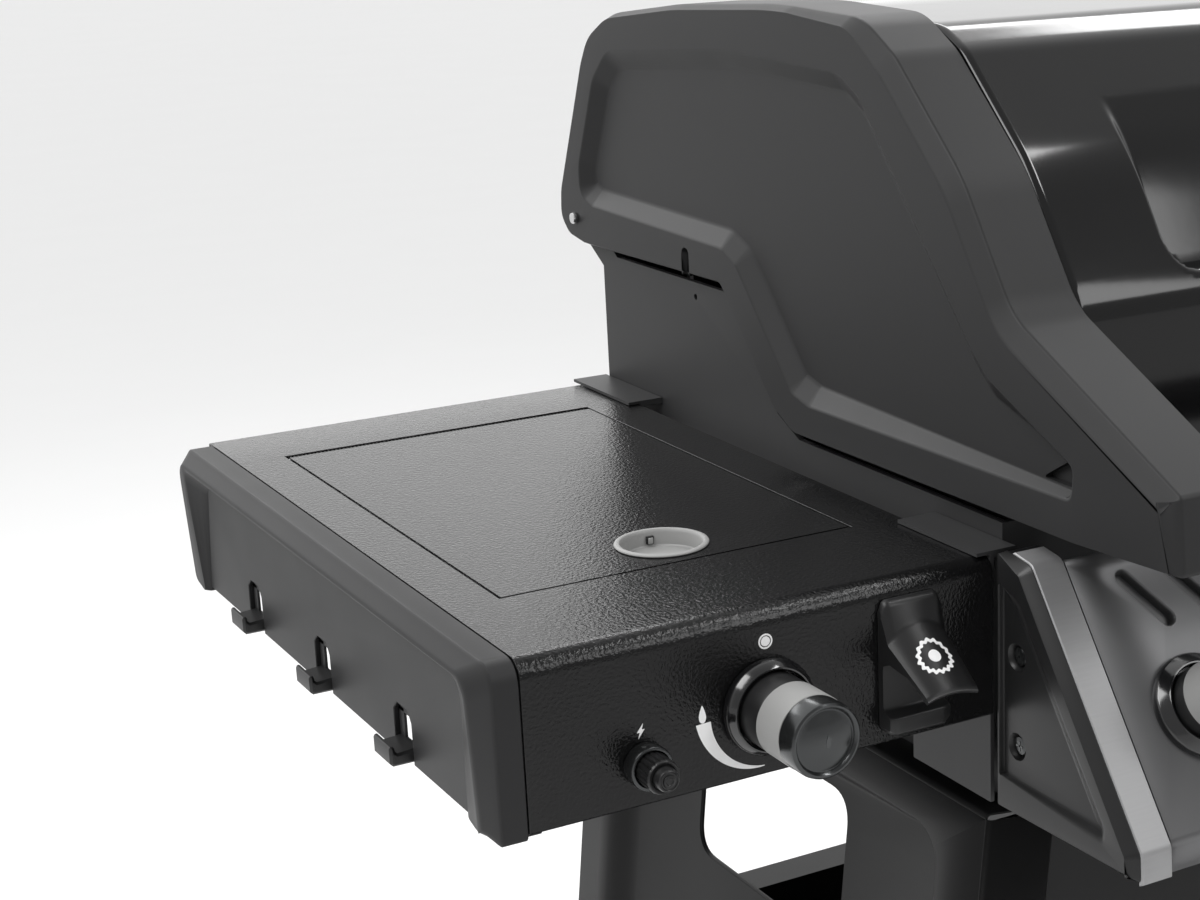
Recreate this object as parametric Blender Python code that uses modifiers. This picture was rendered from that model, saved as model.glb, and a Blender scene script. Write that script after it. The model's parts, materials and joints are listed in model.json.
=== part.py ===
"""Gas barbecue grill: cart, firebox with three burners, hinged lid, side-burner shelf and plain shelf.

Metres, +Z up, +X to the right as the cook sees it, the cook stands at -Y.
The origin is on the ground, under the middle of the grill's bounding box.
"""

import math

import bmesh
import bpy
from mathutils import Matrix, Vector

# Driving sizes
SHEET = 0.0015
PLATE = 0.003
GAP = 0.0004
SHELF_TOP = 0.890
FRONT = -0.2174
BACK = 0.295
BODY_HALF = 0.3405
LID_HALF = 0.329
LID_BAND = 0.052
FIREBOX_HALF = 0.322
FIREBOX_FRONT = -0.200
FIREBOX_BACK = 0.298
FIREBOX_SKIRT = 0.7365
FIREBOX_FLOOR = 0.770
HINGE_Y = 0.326
HINGE_Z = 1.007

SHELF_SEAM = -0.6248
CAP_OUTER = -0.6487
CAP_PLATE = -0.640
HOOK_OUTER = -0.6530
CAP_BOTTOM = 0.7938
PANEL_BOTTOM = 0.7968
HOOKS = (-0.0868, 0.0421, 0.1681)
HOOK_HALF = 0.0129

BURNER_LID_LOW = (-0.5924, -0.1217)
BURNER_LID_HIGH = (-0.3753, 0.2225)
BURNER_HINGE_Y = 0.2252
BURNER_HINGE_Z = 0.8893
PULL_CENTRE = (-0.4789, -0.0879)
PULL_RADIUS = 0.0272

SIDE_KNOB = (-0.4868, 0.8362)
IGNITER = (-0.5595, 0.8205)
KNOB_RADIUS = 0.0208
SIDE_KNOB_HEIGHT = 0.0635
MAIN_KNOB_HEIGHT = 0.0555
SIDE_BEZEL_RADIUS = 0.0268
MAIN_BEZEL_RADIUS = 0.0300

CONTROL_HALF = 0.3115
CONTROL_TOP = (-0.242, 0.8895)
CONTROL_LOW = (-0.3385, 0.7555)
MAIN_KNOBS = (-0.262, 0.0, 0.262)
KNOB_DOWN_PANEL = 0.59
VENTS = (-0.268, -0.236, 0.236, 0.268)
VENT_DOWN_PANEL = 0.19
BURNER_SPREAD = 0.80

CART_TOP = 0.733
CART_FRONT = -0.2126
CART_BACK = 0.306
CART_SPLAY = math.radians(6.56)
LEG_FACE = 0.048
FOOT_X = 0.392
WHEEL_RADIUS = 0.075
WHEEL_Y = 0.220
WHEEL_WIDTH = 0.030
WHEEL_X = 0.372
BOTTOM_SHELF_Z = 0.160

# The hood's front slope, as a direction in Y and Z, and the thermometer on it
HOOD_SLOPE = (-0.870, 0.493)
THERMOMETER = (-0.1525, 1.0775)
HANDLE_AXIS = (-0.336, 0.932)
HANDLE_RADIUS = 0.0145
# The control panel's slope, and where the burners' gas line runs behind it
PANEL_SLOPE = (-0.813, 0.582)
BURNER_Z = 0.812
RAIL_AXIS = (-0.249, 0.783)

LID_OUTLINE = [
    (0.315, 0.987), (0.341, 0.991), (0.356, 1.004), (0.354, 1.023), (0.341, 1.052), (0.308, 1.122),
    (0.294, 1.140), (0.269, 1.155), (0.247, 1.161), (0.162, 1.169), (0.079, 1.1745), (0.033, 1.1756),
    (-0.017, 1.1745), (-0.064, 1.172), (-0.080, 1.166), (-0.093, 1.156), (-0.161, 1.093),
    (-0.209, 1.022), (-0.352, 0.953), (-0.356, 0.911), (-0.274, 0.907), (0.019, 0.906),
    (0.044, 0.918), (0.110, 0.989),
]
LID_RECESS = [
    (0.258, 1.131), (0.284, 1.112), (0.317, 1.046), (0.317, 1.030), (0.295, 1.022), (0.105, 1.016),
    (0.090, 1.011), (0.019, 0.936), (-0.002, 0.931), (-0.2155, 0.934), (-0.2706, 0.9335),
    (-0.272, 0.951), (-0.233, 0.967), (-0.192, 0.985), (-0.183, 0.994), (-0.065, 1.1275),
    (-0.047, 1.1375), (0.088, 1.143),
]
HOOD_PATH = [
    (-0.214, 0.910), (-0.207, 1.022), (-0.163, 1.090), (-0.097, 1.150), (-0.082, 1.161),
    (-0.062, 1.168), (0.033, 1.1725), (0.162, 1.1655), (0.247, 1.157), (0.290, 1.137),
    (0.305, 1.118), (0.337, 1.052), (0.350, 1.022), (0.351, 1.006),
]

COLLECTION = "gas_barbecue_grill"


def clear_scene():
    for item in list(bpy.data.objects):
        bpy.data.objects.remove(item, do_unlink=True)


def collection(name):
    group = bpy.data.collections.new(name)
    bpy.context.scene.collection.children.link(group)
    return group


clear_scene()
PARTS = collection(COLLECTION)
CUTTERS = collection("cutters")


def material(name, colour, roughness, metallic):
    made = bpy.data.materials.new(name)
    made.use_nodes = True
    shader = made.node_tree.nodes["Principled BSDF"]
    shader.inputs["Base Color"].default_value = (*colour, 1.0)
    shader.inputs["Roughness"].default_value = roughness
    shader.inputs["Metallic"].default_value = metallic
    made.diffuse_color = (*colour, 1.0)
    return made


# The lid's axis: every piece of the lid hangs from this empty
LID_HINGE = bpy.data.objects.new("lid_hinge", None)
LID_HINGE.location = (0, HINGE_Y, HINGE_Z)
PARTS.objects.link(LID_HINGE)


TEXTURED = material("textured_powder_coat", (0.012, 0.012, 0.013), 0.35, 0.0)
SATIN = material("satin_cast_coat", (0.035, 0.035, 0.037), 0.45, 0.2)
ENAMEL = material("gloss_enamel", (0.008, 0.008, 0.009), 0.12, 0.0)
PLASTIC = material("satin_plastic", (0.030, 0.030, 0.031), 0.5, 0.0)
PANEL_PAINT = material("panel_paint", (0.070, 0.070, 0.072), 0.4, 0.6)
GLOSS_PLASTIC = material("gloss_plastic", (0.010, 0.010, 0.011), 0.15, 0.0)
PALE_PLASTIC = material("pale_plastic", (0.45, 0.45, 0.45), 0.5, 0.0)
CART_PAINT = material("cart_paint", (0.015, 0.015, 0.016), 0.5, 0.0)
STEEL = material("steel", (0.55, 0.55, 0.56), 0.3, 1.0)
CAST_IRON = material("cast_iron", (0.03, 0.03, 0.03), 0.7, 0.5)
CERAMIC = material("ceramic_tile", (0.75, 0.70, 0.62), 0.9, 0.0)
RUBBER = material("wheel_rubber", (0.02, 0.02, 0.02), 0.8, 0.0)


def add(name, mesh, group):
    item = bpy.data.objects.new(name, mesh)
    group.objects.link(item)
    return item


def box(name, low, high, group=PARTS):
    """A block between two opposite corners."""
    shape = bmesh.new()
    bmesh.ops.create_cube(shape, size=1.0)
    size = Vector(high) - Vector(low)
    middle = (Vector(high) + Vector(low)) / 2
    bmesh.ops.scale(shape, vec=size, verts=shape.verts)
    bmesh.ops.translate(shape, vec=middle, verts=shape.verts)
    mesh = bpy.data.meshes.new(name)
    shape.to_mesh(mesh)
    shape.free()
    return add(name, mesh, group)


# How a flat outline's own X, Y and thickness lie in the world, by the axis that it is extruded along
AXES = {
    "X": Matrix(((0, 0, 1, 0), (1, 0, 0, 0), (0, 1, 0, 0), (0, 0, 0, 1))),
    "Y": Matrix(((1, 0, 0, 0), (0, 0, -1, 0), (0, 1, 0, 0), (0, 0, 0, 1))),
    "Z": Matrix.Identity(4),
}


def meshed(item, group):
    """The curve object as a mesh object of its own, in world coordinates."""
    bpy.context.view_layer.update()
    graph = bpy.context.evaluated_depsgraph_get()
    mesh = bpy.data.meshes.new_from_object(item.evaluated_get(graph))
    mesh.transform(item.matrix_world)
    shape = bmesh.new()
    shape.from_mesh(mesh)
    bmesh.ops.remove_doubles(shape, verts=shape.verts, dist=1e-6)
    bmesh.ops.recalc_face_normals(shape, faces=shape.faces)
    shape.to_mesh(mesh)
    shape.free()
    name = item.name
    bpy.data.objects.remove(item, do_unlink=True)
    mesh.name = name
    return add(name, mesh, group)


def prism(name, outline, low, high, axis="X", group=PARTS):
    """A flat outline, extruded along an axis from low to high."""
    curve = bpy.data.curves.new(name, "CURVE")
    curve.dimensions = "2D"
    curve.fill_mode = "BOTH"
    curve.extrude = (high - low) / 2
    line = curve.splines.new("POLY")
    line.points.add(len(outline) - 1)
    for point, place in zip(line.points, outline):
        point.co = (place[0], place[1], 0.0, 1.0)
    line.use_cyclic_u = True
    item = add(name, curve, group)
    middle = (high + low) / 2
    along = Vector([middle if letter == axis else 0.0 for letter in "XYZ"])
    item.matrix_world = Matrix.Translation(along) @ AXES[axis]
    return meshed(item, group)


def rod(name, start, end, radius, sides=20, group=PARTS):
    """A round bar between two points."""
    start = Vector(start)
    run = Vector(end) - start
    shape = bmesh.new()
    bmesh.ops.create_cone(
        shape, cap_ends=True, segments=sides, radius1=radius, radius2=radius, depth=run.length
    )
    turn = run.to_track_quat("Z", "Y").to_matrix().to_4x4()
    shape.transform(Matrix.Translation(start + run / 2) @ turn)
    mesh = bpy.data.meshes.new(name)
    shape.to_mesh(mesh)
    shape.free()
    return add(name, mesh, group)


def wire(name, places, radius, closed=False, resolution=1, group=PARTS):
    """A bent wire or tube through the given points."""
    curve = bpy.data.curves.new(name, "CURVE")
    curve.dimensions = "3D"
    curve.bevel_depth = radius
    curve.bevel_resolution = resolution
    curve.use_fill_caps = True
    line = curve.splines.new("POLY")
    line.points.add(len(places) - 1)
    for point, place in zip(line.points, places):
        point.co = (*place, 1.0)
    line.use_cyclic_u = closed
    return meshed(add(name, curve, group), group)


def turned(name, profile, centre, direction, steps=28, group=PARTS):
    """A turned shape: (radius, height) points run down its outer side, heights along direction."""
    mesh = bpy.data.meshes.new(name)
    places = [(radius, 0.0, height) for radius, height in profile]
    edges = [(i, i + 1) for i in range(len(places) - 1)]
    if profile[0] != profile[-1] and profile[0][0] > 0:
        edges.append((len(places) - 1, 0))
    mesh.from_pydata(places, edges, [])
    item = add(name, mesh, group)
    screw = item.modifiers.new("turn", "SCREW")
    screw.axis = "Z"
    screw.steps = steps
    screw.render_steps = steps
    screw.use_merge_vertices = True
    screw.merge_threshold = 1e-6
    turn = Vector(direction).to_track_quat("Z", "Y").to_matrix().to_4x4()
    item.matrix_world = Matrix.Translation(Vector(centre)) @ turn
    return item


def combine(item, other, operation):
    """Cuts or joins a helper shape, which leaves the model afterwards."""
    for group in list(other.users_collection):
        group.objects.unlink(other)
    CUTTERS.objects.link(other)
    other.hide_render = True
    other.display_type = "WIRE"
    step = item.modifiers.new(operation.lower(), "BOOLEAN")
    step.operation = operation
    step.solver = "EXACT"
    step.object = other
    return item


def cut(item, *others):
    for other in others:
        combine(item, other, "DIFFERENCE")
    return item


def join(item, *others):
    for other in others:
        combine(item, other, "UNION")
    return item


def soften(item, width, segments=1, angle=40):
    step = item.modifiers.new("soften", "BEVEL")
    step.width = width
    step.segments = segments
    step.limit_method = "ANGLE"
    step.angle_limit = math.radians(angle)
    return item


def joint(name, place):
    """An empty on a joint's axis: what moves there is parented to it."""
    item = bpy.data.objects.new(name, None)
    item.empty_display_size = 0.02
    item.location = place
    PARTS.objects.link(item)
    return item


def finish(item, surface, carrier=None):
    """Gives the piece its material and, if it moves, the empty that carries it."""
    item.data.materials.clear()
    item.data.materials.append(surface)
    if carrier is not None:
        item.parent = carrier
        item.matrix_parent_inverse = Matrix.Translation(-carrier.location)
    return item


def strip(path, thickness):
    """The outline of a bent sheet: its outer path, and the same path moved inwards."""
    inner = []
    for i, place in enumerate(path):
        before = Vector(path[max(i - 1, 0)])
        after = Vector(path[min(i + 1, len(path) - 1)])
        here = Vector(place)
        first = (here - before).normalized() if i else (after - here).normalized()
        second = (after - here).normalized() if i < len(path) - 1 else first
        side = (Vector((first.y, -first.x)) + Vector((second.y, -second.x))).normalized()
        reach = thickness / max(side.dot(Vector((first.y, -first.x))), 0.4)
        inner.append(tuple(here + side * reach))
    return list(path) + inner[::-1]


def arc(centre, radius, start, end, steps):
    """Points on an arc, angles in degrees."""
    angles = [math.radians(start + (end - start) * i / steps) for i in range(steps + 1)]
    return [(centre[0] + radius * math.cos(a), centre[1] + radius * math.sin(a)) for a in angles]


# ---------------------------------------------------------------- lid


def hood():
    """The enamelled steel hood, with a stamped recess on its front."""
    inner_path = strip(HOOD_PATH, 0.002)[len(HOOD_PATH):][::-1]
    half = LID_HALF - LID_BAND - GAP
    outer = HOOD_PATH + [(0.30, 0.985), (-0.16, 0.912)]
    item = prism("lid_hood", outer, -half, half)
    hollow_line = inner_path + [(0.349, 0.95), (0.30, 0.90), (-0.212, 0.88)]
    hollow = prism("hood_hollow", hollow_line, -half - 0.01, half + 0.01, group=CUTTERS)
    pan = [(-0.125, 1.126), (-0.180, 1.029), (-0.24, 1.029), (-0.24, 1.126)]
    backed = [(-0.122, 1.1275), (-0.1775, 1.027), (-0.24, 1.027), (-0.24, 1.1275)]
    cut(item, prism("hood_recess", pan, -0.203, 0.203, group=CUTTERS))
    cut(hollow, prism("hood_recess_back", backed, -0.205, 0.205, group=CUTTERS))
    cut(item, hollow)
    stem = thermometer_axis(-0.013), thermometer_axis(0.011)
    cut(item, rod("thermometer_hole", *stem, 0.0048, 10, CUTTERS))
    return finish(item, ENAMEL, LID_HINGE)


def thermometer_axis(height):
    """A point on the thermometer's axis, at this height over the recess floor."""
    return (0.0, THERMOMETER[0] + HOOD_SLOPE[0] * height, THERMOMETER[1] + HOOD_SLOPE[1] * height)


def thermometer():
    centre = thermometer_axis(GAP)
    profile = [
        (0.0, 0.0075), (0.029, 0.0075), (0.031, 0.012), (0.033, 0.012), (0.035, 0.009),
        (0.035, 0.0), (0.004, 0.0), (0.004, -0.035), (0.0, -0.035),
    ]
    case = turned("thermometer_case", profile, centre, (0, *HOOD_SLOPE), 20)
    finish(case, STEEL, LID_HINGE)
    needle = prism(
        "thermometer_needle", [(-0.0015, -0.007), (0.0015, -0.007), (0.0004, 0.024), (-0.0004, 0.024)],
        0.0, 0.0008, "Z",
    )
    turn = Matrix.Rotation(math.radians(135), 4, "Z")
    over_dial = 0.0085
    needle.data.transform(Matrix.Translation(Vector(thermometer_axis(over_dial))) @ facing(HOOD_SLOPE) @ turn)
    spindle = joint("needle_spindle", thermometer_axis(over_dial))
    spindle.parent = LID_HINGE
    spindle.matrix_parent_inverse = Matrix.Translation(-LID_HINGE.location)
    return finish(needle, PALE_PLASTIC, spindle)


def lid_end(name, side):
    """A cast end cap: raised frame, sunk panel, deep band over the hood's edge, forward arm."""
    face, inner = LID_HALF, LID_HALF - LID_BAND
    item = prism(name, LID_OUTLINE, inner, face)
    pocket_line = inset(LID_OUTLINE, 0.005)
    pocket = prism("lid_pocket", pocket_line, inner - 0.01, face - 0.013, group=CUTTERS)
    mouth = [(-0.195, 0.90), (0.05, 0.90), (0.115, 0.98), (0.351, 0.98), (0.351, 1.004), (0.10, 1.004),
             (0.03, 0.935), (-0.195, 0.935)]
    open_below = prism("lid_mouth", mouth, inner - 0.01, face - 0.013, group=CUTTERS)
    ear_room = box("ear_room", (inner, 0.255, 0.975), (face - 0.004, 0.351, 1.0205), CUTTERS)
    cut(item, pocket, open_below, ear_room)
    cut(item, sunk_panel(face))
    hole = rod("pin_hole", (inner, HINGE_Y, HINGE_Z), (face + 0.01, HINGE_Y, HINGE_Z), 0.0034, 12, CUTTERS)
    key = [(0.1511, 0.98), (0.1609, 0.98)] + arc((0.156, 1.004), 0.0049, 0, 180, 6)
    keyhole = prism("spit_notch", key, inner - 0.01, face + 0.01, group=CUTTERS)
    slot = box("arm_slot", (face - 0.02, -0.268, 0.936), (face + 0.01, -0.262, 0.950), CUTTERS)
    cut(item, hole, keyhole, slot)
    if side < 0:
        mirror_parts(item)
    return finish(item, SATIN, LID_HINGE)


def facing(slope):
    """Turns a shape that lies flat, facing up, to face along a slope's direction in Y and Z."""
    y, z = slope
    return Matrix(((1, 0, 0, 0), (0, z, y, 0), (0, -y, z, 0), (0, 0, 0, 1)))


def inset(outline, width):
    """The closed outline moved inwards; the outlines here run anticlockwise."""
    moved = []
    count = len(outline)
    for i in range(count):
        here = Vector(outline[i])
        first = (here - Vector(outline[i - 1])).normalized()
        second = (Vector(outline[(i + 1) % count]) - here).normalized()
        side = (Vector((-first.y, first.x)) + Vector((-second.y, second.x))).normalized()
        reach = width / max(side.dot(Vector((-first.y, first.x))), 0.5)
        moved.append(tuple(here + side * reach))
    return moved


def sunk_panel(face):
    """The cutter of the end cap's sunk panel: wide at the face, narrower at its floor."""
    depth = 0.0085
    rings = [(face + 0.002, -0.0025), (face - depth, 0.0115)]
    shape = bmesh.new()
    levels = []
    for place, width in rings:
        outline = inset(LID_RECESS, width)
        levels.append([shape.verts.new((place, y, z)) for y, z in outline])
    count = len(LID_RECESS)
    for i in range(count):
        j = (i + 1) % count
        shape.faces.new((levels[0][i], levels[0][j], levels[1][j], levels[1][i]))
    shape.faces.new(levels[0][::-1])
    shape.faces.new(levels[1])
    bmesh.ops.recalc_face_normals(shape, faces=shape.faces)
    mesh = bpy.data.meshes.new("sunk_panel")
    shape.to_mesh(mesh)
    shape.free()
    return add("sunk_panel", mesh, CUTTERS)


def mirror_parts(item):
    """Turns a right-hand piece, and the helpers that shape it, into the left-hand one."""
    helpers = [item]
    for helper in helpers:
        flip = Matrix.Scale(-1, 4, (1, 0, 0))
        helper.data.transform(flip @ helper.matrix_world)
        helper.matrix_world = Matrix.Identity(4)
        helper.data.flip_normals()
        for step in helper.modifiers:
            if step.type == "BOOLEAN" and step.object not in helpers:
                helpers.append(step.object)
    return item


def lid_handle():
    """The round bar between the lid's two forward arms."""
    half = LID_HALF - LID_BAND - GAP
    item = rod("lid_handle", (-half, *HANDLE_AXIS), (half, *HANDLE_AXIS), HANDLE_RADIUS, 24)
    return finish(item, SATIN, LID_HINGE)


def hinge_pin(name, side):
    """A headed pin through the lid's end cap into the firebox's ear."""
    profile = [(0.0, 0.0045), (0.0042, 0.004), (0.0042, 0.001), (0.0028, 0.001), (0.0028, -0.014),
               (0.0, -0.014)]
    centre = (side * (LID_HALF - 0.0005), HINGE_Y, HINGE_Z)
    return finish(turned(name, profile, centre, (side, 0, 0), 12), STEEL)


# ---------------------------------------------------------------- firebox


def firebox():
    """An open steel box whose side walls step up behind the lid's arms, with an ear for each hinge pin."""
    side_line = [(FIREBOX_FRONT, FIREBOX_SKIRT), (FIREBOX_BACK, FIREBOX_SKIRT), (FIREBOX_BACK, 0.984),
                 (0.1140, 0.984), (0.0485, 0.914), (0.022, 0.902), (FIREBOX_FRONT, 0.902)]
    item = prism("firebox", side_line, -FIREBOX_HALF, FIREBOX_HALF)
    room = FIREBOX_HALF - 0.004
    cut(item, box("cooking_room", (-room, FIREBOX_FRONT + 0.004, FIREBOX_FLOOR + 0.003),
                  (room, FIREBOX_BACK - 0.004, 1.05), CUTTERS))
    cut(item, box("skirt_room", (-room, FIREBOX_FRONT + 0.004, 0.70),
                  (room, FIREBOX_BACK - 0.004, FIREBOX_FLOOR), CUTTERS))
    cut(item, box("grease_slot", (-0.16, -0.02, 0.75), (0.16, 0.12, 0.79), CUTTERS))
    cut(item, box("tray_way", (-0.305, 0.28, 0.70), (0.305, 0.32, 0.7655), CUTTERS))
    for side in (-1, 1):
        line = [(0.262, 0.975), (0.290, 0.970), (0.333, 0.996)]
        line += arc((HINGE_Y, HINGE_Z), 0.0105, -40, 130, 6)
        low, high = sorted((side * room, side * FIREBOX_HALF))
        join(item, prism("hinge_ear", line, low, high, group=CUTTERS))
        start = (side * 0.30, HINGE_Y, HINGE_Z)
        end = (side * 0.34, HINGE_Y, HINGE_Z)
        cut(item, rod("ear_hole", start, end, 0.0033, 12, CUTTERS))
        spit = (side * 0.30, 0.156, 0.974)
        cut(item, rod("spit_pin_hole", spit, (side * 0.34, 0.156, 0.974), 0.0022, 10, CUTTERS))
    for knob_x in MAIN_KNOBS:
        x = knob_x * BURNER_SPREAD
        cut(item, rod("burner_port", (x, FIREBOX_FRONT - 0.02, BURNER_Z),
                      (x, FIREBOX_FRONT + 0.02, BURNER_Z), 0.016, 14, CUTTERS))
    return finish(item, SATIN)


def burner(number, x):
    """A tube burner along the firebox, closed at its far end, where a foot carries it."""
    name = f"burner_tube_{number}"
    item = rod(name, (x, -0.225, BURNER_Z), (x, 0.255, BURNER_Z), 0.0125, 16)
    low, high = (x - 0.012, 0.235, FIREBOX_FLOOR + 0.0035), (x + 0.012, 0.250, 0.805)
    join(item, box("burner_foot", low, high, CUTTERS))
    cut(item, rod("burner_bore", (x, -0.24, BURNER_Z), (x, 0.22, BURNER_Z), 0.0105, 16, CUTTERS))
    return finish(item, STEEL)


def heat_shield(number, x):
    """A bent tent over each burner."""
    ridge, eave = 0.858, 0.838
    line = strip([(x + 0.045, eave), (x, ridge), (x - 0.045, eave)][::-1], 0.0015)
    item = prism(f"heat_shield_{number}", line, -0.190, 0.288, "Y")
    return finish(item, STEEL)


def cooking_grate(name, low_x, high_x):
    """A cast grate: end bars and cross rods in one casting."""
    z = 0.884
    low_y, high_y = FIREBOX_FRONT + 0.006, FIREBOX_BACK - 0.007
    item = box(name, (low_x, low_y, z), (high_x, low_y + 0.012, z + 0.010))
    join(item, box("grate_bar", (low_x, high_y - 0.012, z), (high_x, high_y, z + 0.010), CUTTERS))
    count = 11
    pitch = (high_x - low_x - 0.008) / (count - 1)
    for i in range(count):
        x = low_x + pitch * i
        low, high = (x, low_y + 0.002, z + 0.001), (x + 0.008, high_y - 0.002, z + 0.0095)
        join(item, box("grate_bar", low, high, CUTTERS))
    return finish(item, CAST_IRON)


def warming_rack():
    """A wire shelf that stands on the grates' rear by two bent legs."""
    z, low_y, high_y = 1.030, 0.120, 0.262
    half = 0.270
    frame = [(-half, low_y, 0.898), (-half, low_y, z), (half, low_y, z), (half, low_y, 0.898)]
    item = wire("warming_rack", frame, 0.003)
    back = [(-half, high_y, 0.898), (-half, high_y, z), (half, high_y, z), (half, high_y, 0.898)]
    join(item, wire("rack_back", back, 0.003, group=CUTTERS))
    count = 8
    for i in range(count):
        x = -half + 2 * half * i / (count - 1)
        start, end = (x, low_y - 0.001, z + 0.001), (x, high_y + 0.001, z + 0.001)
        join(item, rod("rack_rod", start, end, 0.0024, 6, CUTTERS))
    return finish(item, STEEL)


def gas_manifold():
    """The gas rail behind the control panel: a valve behind each knob and a jet at each burner's mouth."""
    item = rod("gas_manifold", (-0.285, *RAIL_AXIS), (0.285, *RAIL_AXIS), 0.009, 12)
    inward = -Vector((0, *PANEL_SLOPE))
    for x in MAIN_KNOBS:
        centre = Vector((x, *panel_point(KNOB_DOWN_PANEL)))
        join(item, rod("valve", centre + inward * 0.012, centre + inward * 0.055, 0.011, 12, CUTTERS))
        jet_x = x * BURNER_SPREAD
        join(item, rod("jet", (jet_x, *RAIL_AXIS), (jet_x, -0.2280, 0.808), 0.005, 10, CUTTERS))
    return finish(item, STEEL)


def panel_point(share):
    """A point on the control panel's slope, as a share of the way down it."""
    top, low = Vector(CONTROL_TOP), Vector(CONTROL_LOW)
    return tuple(top + (low - top) * share)


def drip_tray():
    """A pan that slides out at the back, under the firebox floor."""
    low, high = (-0.300, -0.170, 0.7385), (0.300, 0.300, 0.764)
    item = box("drip_tray", low, high)
    cut(item, box("tray_room", (low[0] + SHEET, low[1] + SHEET, low[2] + SHEET),
                  (high[0] - SHEET, high[1] - SHEET, 0.80), CUTTERS))
    return finish(item, STEEL, joint("tray_runner", (0, 0.30, 0.75)))


# ---------------------------------------------------------------- control panel and knobs


def control_panel():
    """The sloping sheet that carries the knobs, folded back at its top and foot."""
    path = [(-0.2065, 0.893), CONTROL_TOP, CONTROL_LOW, (-0.3390, 0.738)]
    item = prism("control_panel", strip(path[::-1], 0.0018), -CONTROL_HALF, CONTROL_HALF)
    direction = Vector((0, *PANEL_SLOPE))
    for x in MAIN_KNOBS:
        centre = Vector((x, *panel_point(KNOB_DOWN_PANEL)))
        cut(item, rod("stem_hole", centre - direction * 0.01, centre + direction * 0.01, 0.006, 12, CUTTERS))
    for x in VENTS:
        cut(item, slanted_slot(Vector((x, *panel_point(VENT_DOWN_PANEL)))))
    return finish(item, PANEL_PAINT)


def slanted_slot(centre):
    """The cutter of one slanted vent: a long round-ended slot through the sheet."""
    line = arc((0.0, 0.0165), 0.0042, 0, 180, 4) + arc((0.0, -0.0165), 0.0042, 180, 360, 4)
    vent = prism("vent", line, -0.01, 0.01, "Z", CUTTERS)
    lean = Matrix.Rotation(math.radians(35), 4, "Z")
    vent.data.transform(Matrix.Translation(centre) @ facing(PANEL_SLOPE) @ lean)
    return vent


def control_end(name, side):
    """The moulded end of the control panel, with a sunk side."""
    line = [(-0.2180, 0.894), (-0.242, 0.8905), (-0.3395, 0.7550), (-0.3405, 0.7385), (-0.2180, 0.742)]
    outer = BODY_HALF - 0.001
    item = prism(name, line, CONTROL_HALF + GAP, outer)
    soften(item, 0.004, 1, 50)
    sunk = [(-0.2270, 0.872), (-0.246, 0.868), (-0.318, 0.766), (-0.318, 0.756), (-0.2270, 0.758)]
    cut(item, prism("end_sunk", sunk, outer - 0.004, outer + 0.01, group=CUTTERS))
    if side < 0:
        mirror_parts(item)
    return finish(item, PLASTIC)


def knob_profile(top):
    """(radius, height) from the face's middle down to the stem, heights over the panel."""
    return [
        (0.0, top), (0.010, top - 0.0002), (KNOB_RADIUS - 0.0015, top - 0.0010), (KNOB_RADIUS, top - 0.0025),
        (KNOB_RADIUS, 0.0020), (0.0035, 0.0020), (0.0035, -0.0105), (0.0, -0.0105),
    ]


def bezel_profile(radius):
    """The ring round a knob, from its bore outwards."""
    bore = KNOB_RADIUS + 0.0008
    return [(bore, 0.0095), (bore + 0.0014, 0.0100), (radius - 0.0010, 0.0062), (radius, 0.0040),
            (radius - 0.0006, GAP), (bore, GAP)]


def main_knobs():
    direction = (0, *PANEL_SLOPE)
    for number, x in enumerate(MAIN_KNOBS, 1):
        centre = (x, *panel_point(KNOB_DOWN_PANEL))
        knob = turned(f"burner_knob_{number}", knob_profile(MAIN_KNOB_HEIGHT), centre, direction, 16)
        finish(knob, GLOSS_PLASTIC)
        ring = turned(f"knob_bezel_{number}", bezel_profile(MAIN_BEZEL_RADIUS), centre, direction, 18)
        finish(ring, GLOSS_PLASTIC)


# ---------------------------------------------------------------- side shelves


def shelf_path():
    """From the front panel's foot, over the rounded front edge, to the back flange."""
    radius = 0.011
    rounding = arc((FRONT + radius, SHELF_TOP - radius), radius, 180, 90, 5)
    return [(FRONT, PANEL_BOTTOM)] + rounding + [(BACK, SHELF_TOP), (BACK, SHELF_TOP - 0.045)]


def shelf_top(name, low, high):
    return prism(name, strip(shelf_path(), SHEET), low, high)


def side_burner_shelf():
    item = shelf_top("shelf_left_top", SHELF_SEAM, -BODY_HALF)
    low = (BURNER_LID_LOW[0] - 0.0015, BURNER_LID_LOW[1] - 0.0015, 0.88)
    high = (BURNER_LID_HIGH[0] + 0.0015, 0.2282, 0.90)
    cut(item, box("well_mouth", low, high, CUTTERS))
    for (x, z), radius in ((SIDE_KNOB, 0.006), (IGNITER, 0.0075)):
        cut(item, rod("panel_hole", (x, FRONT - 0.01, z), (x, FRONT + 0.01, z), radius, 14, CUTTERS))
    return finish(item, TEXTURED)


def plain_shelf():
    return finish(shelf_top("shelf_right_top", BODY_HALF, -SHELF_SEAM), TEXTURED)


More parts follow.
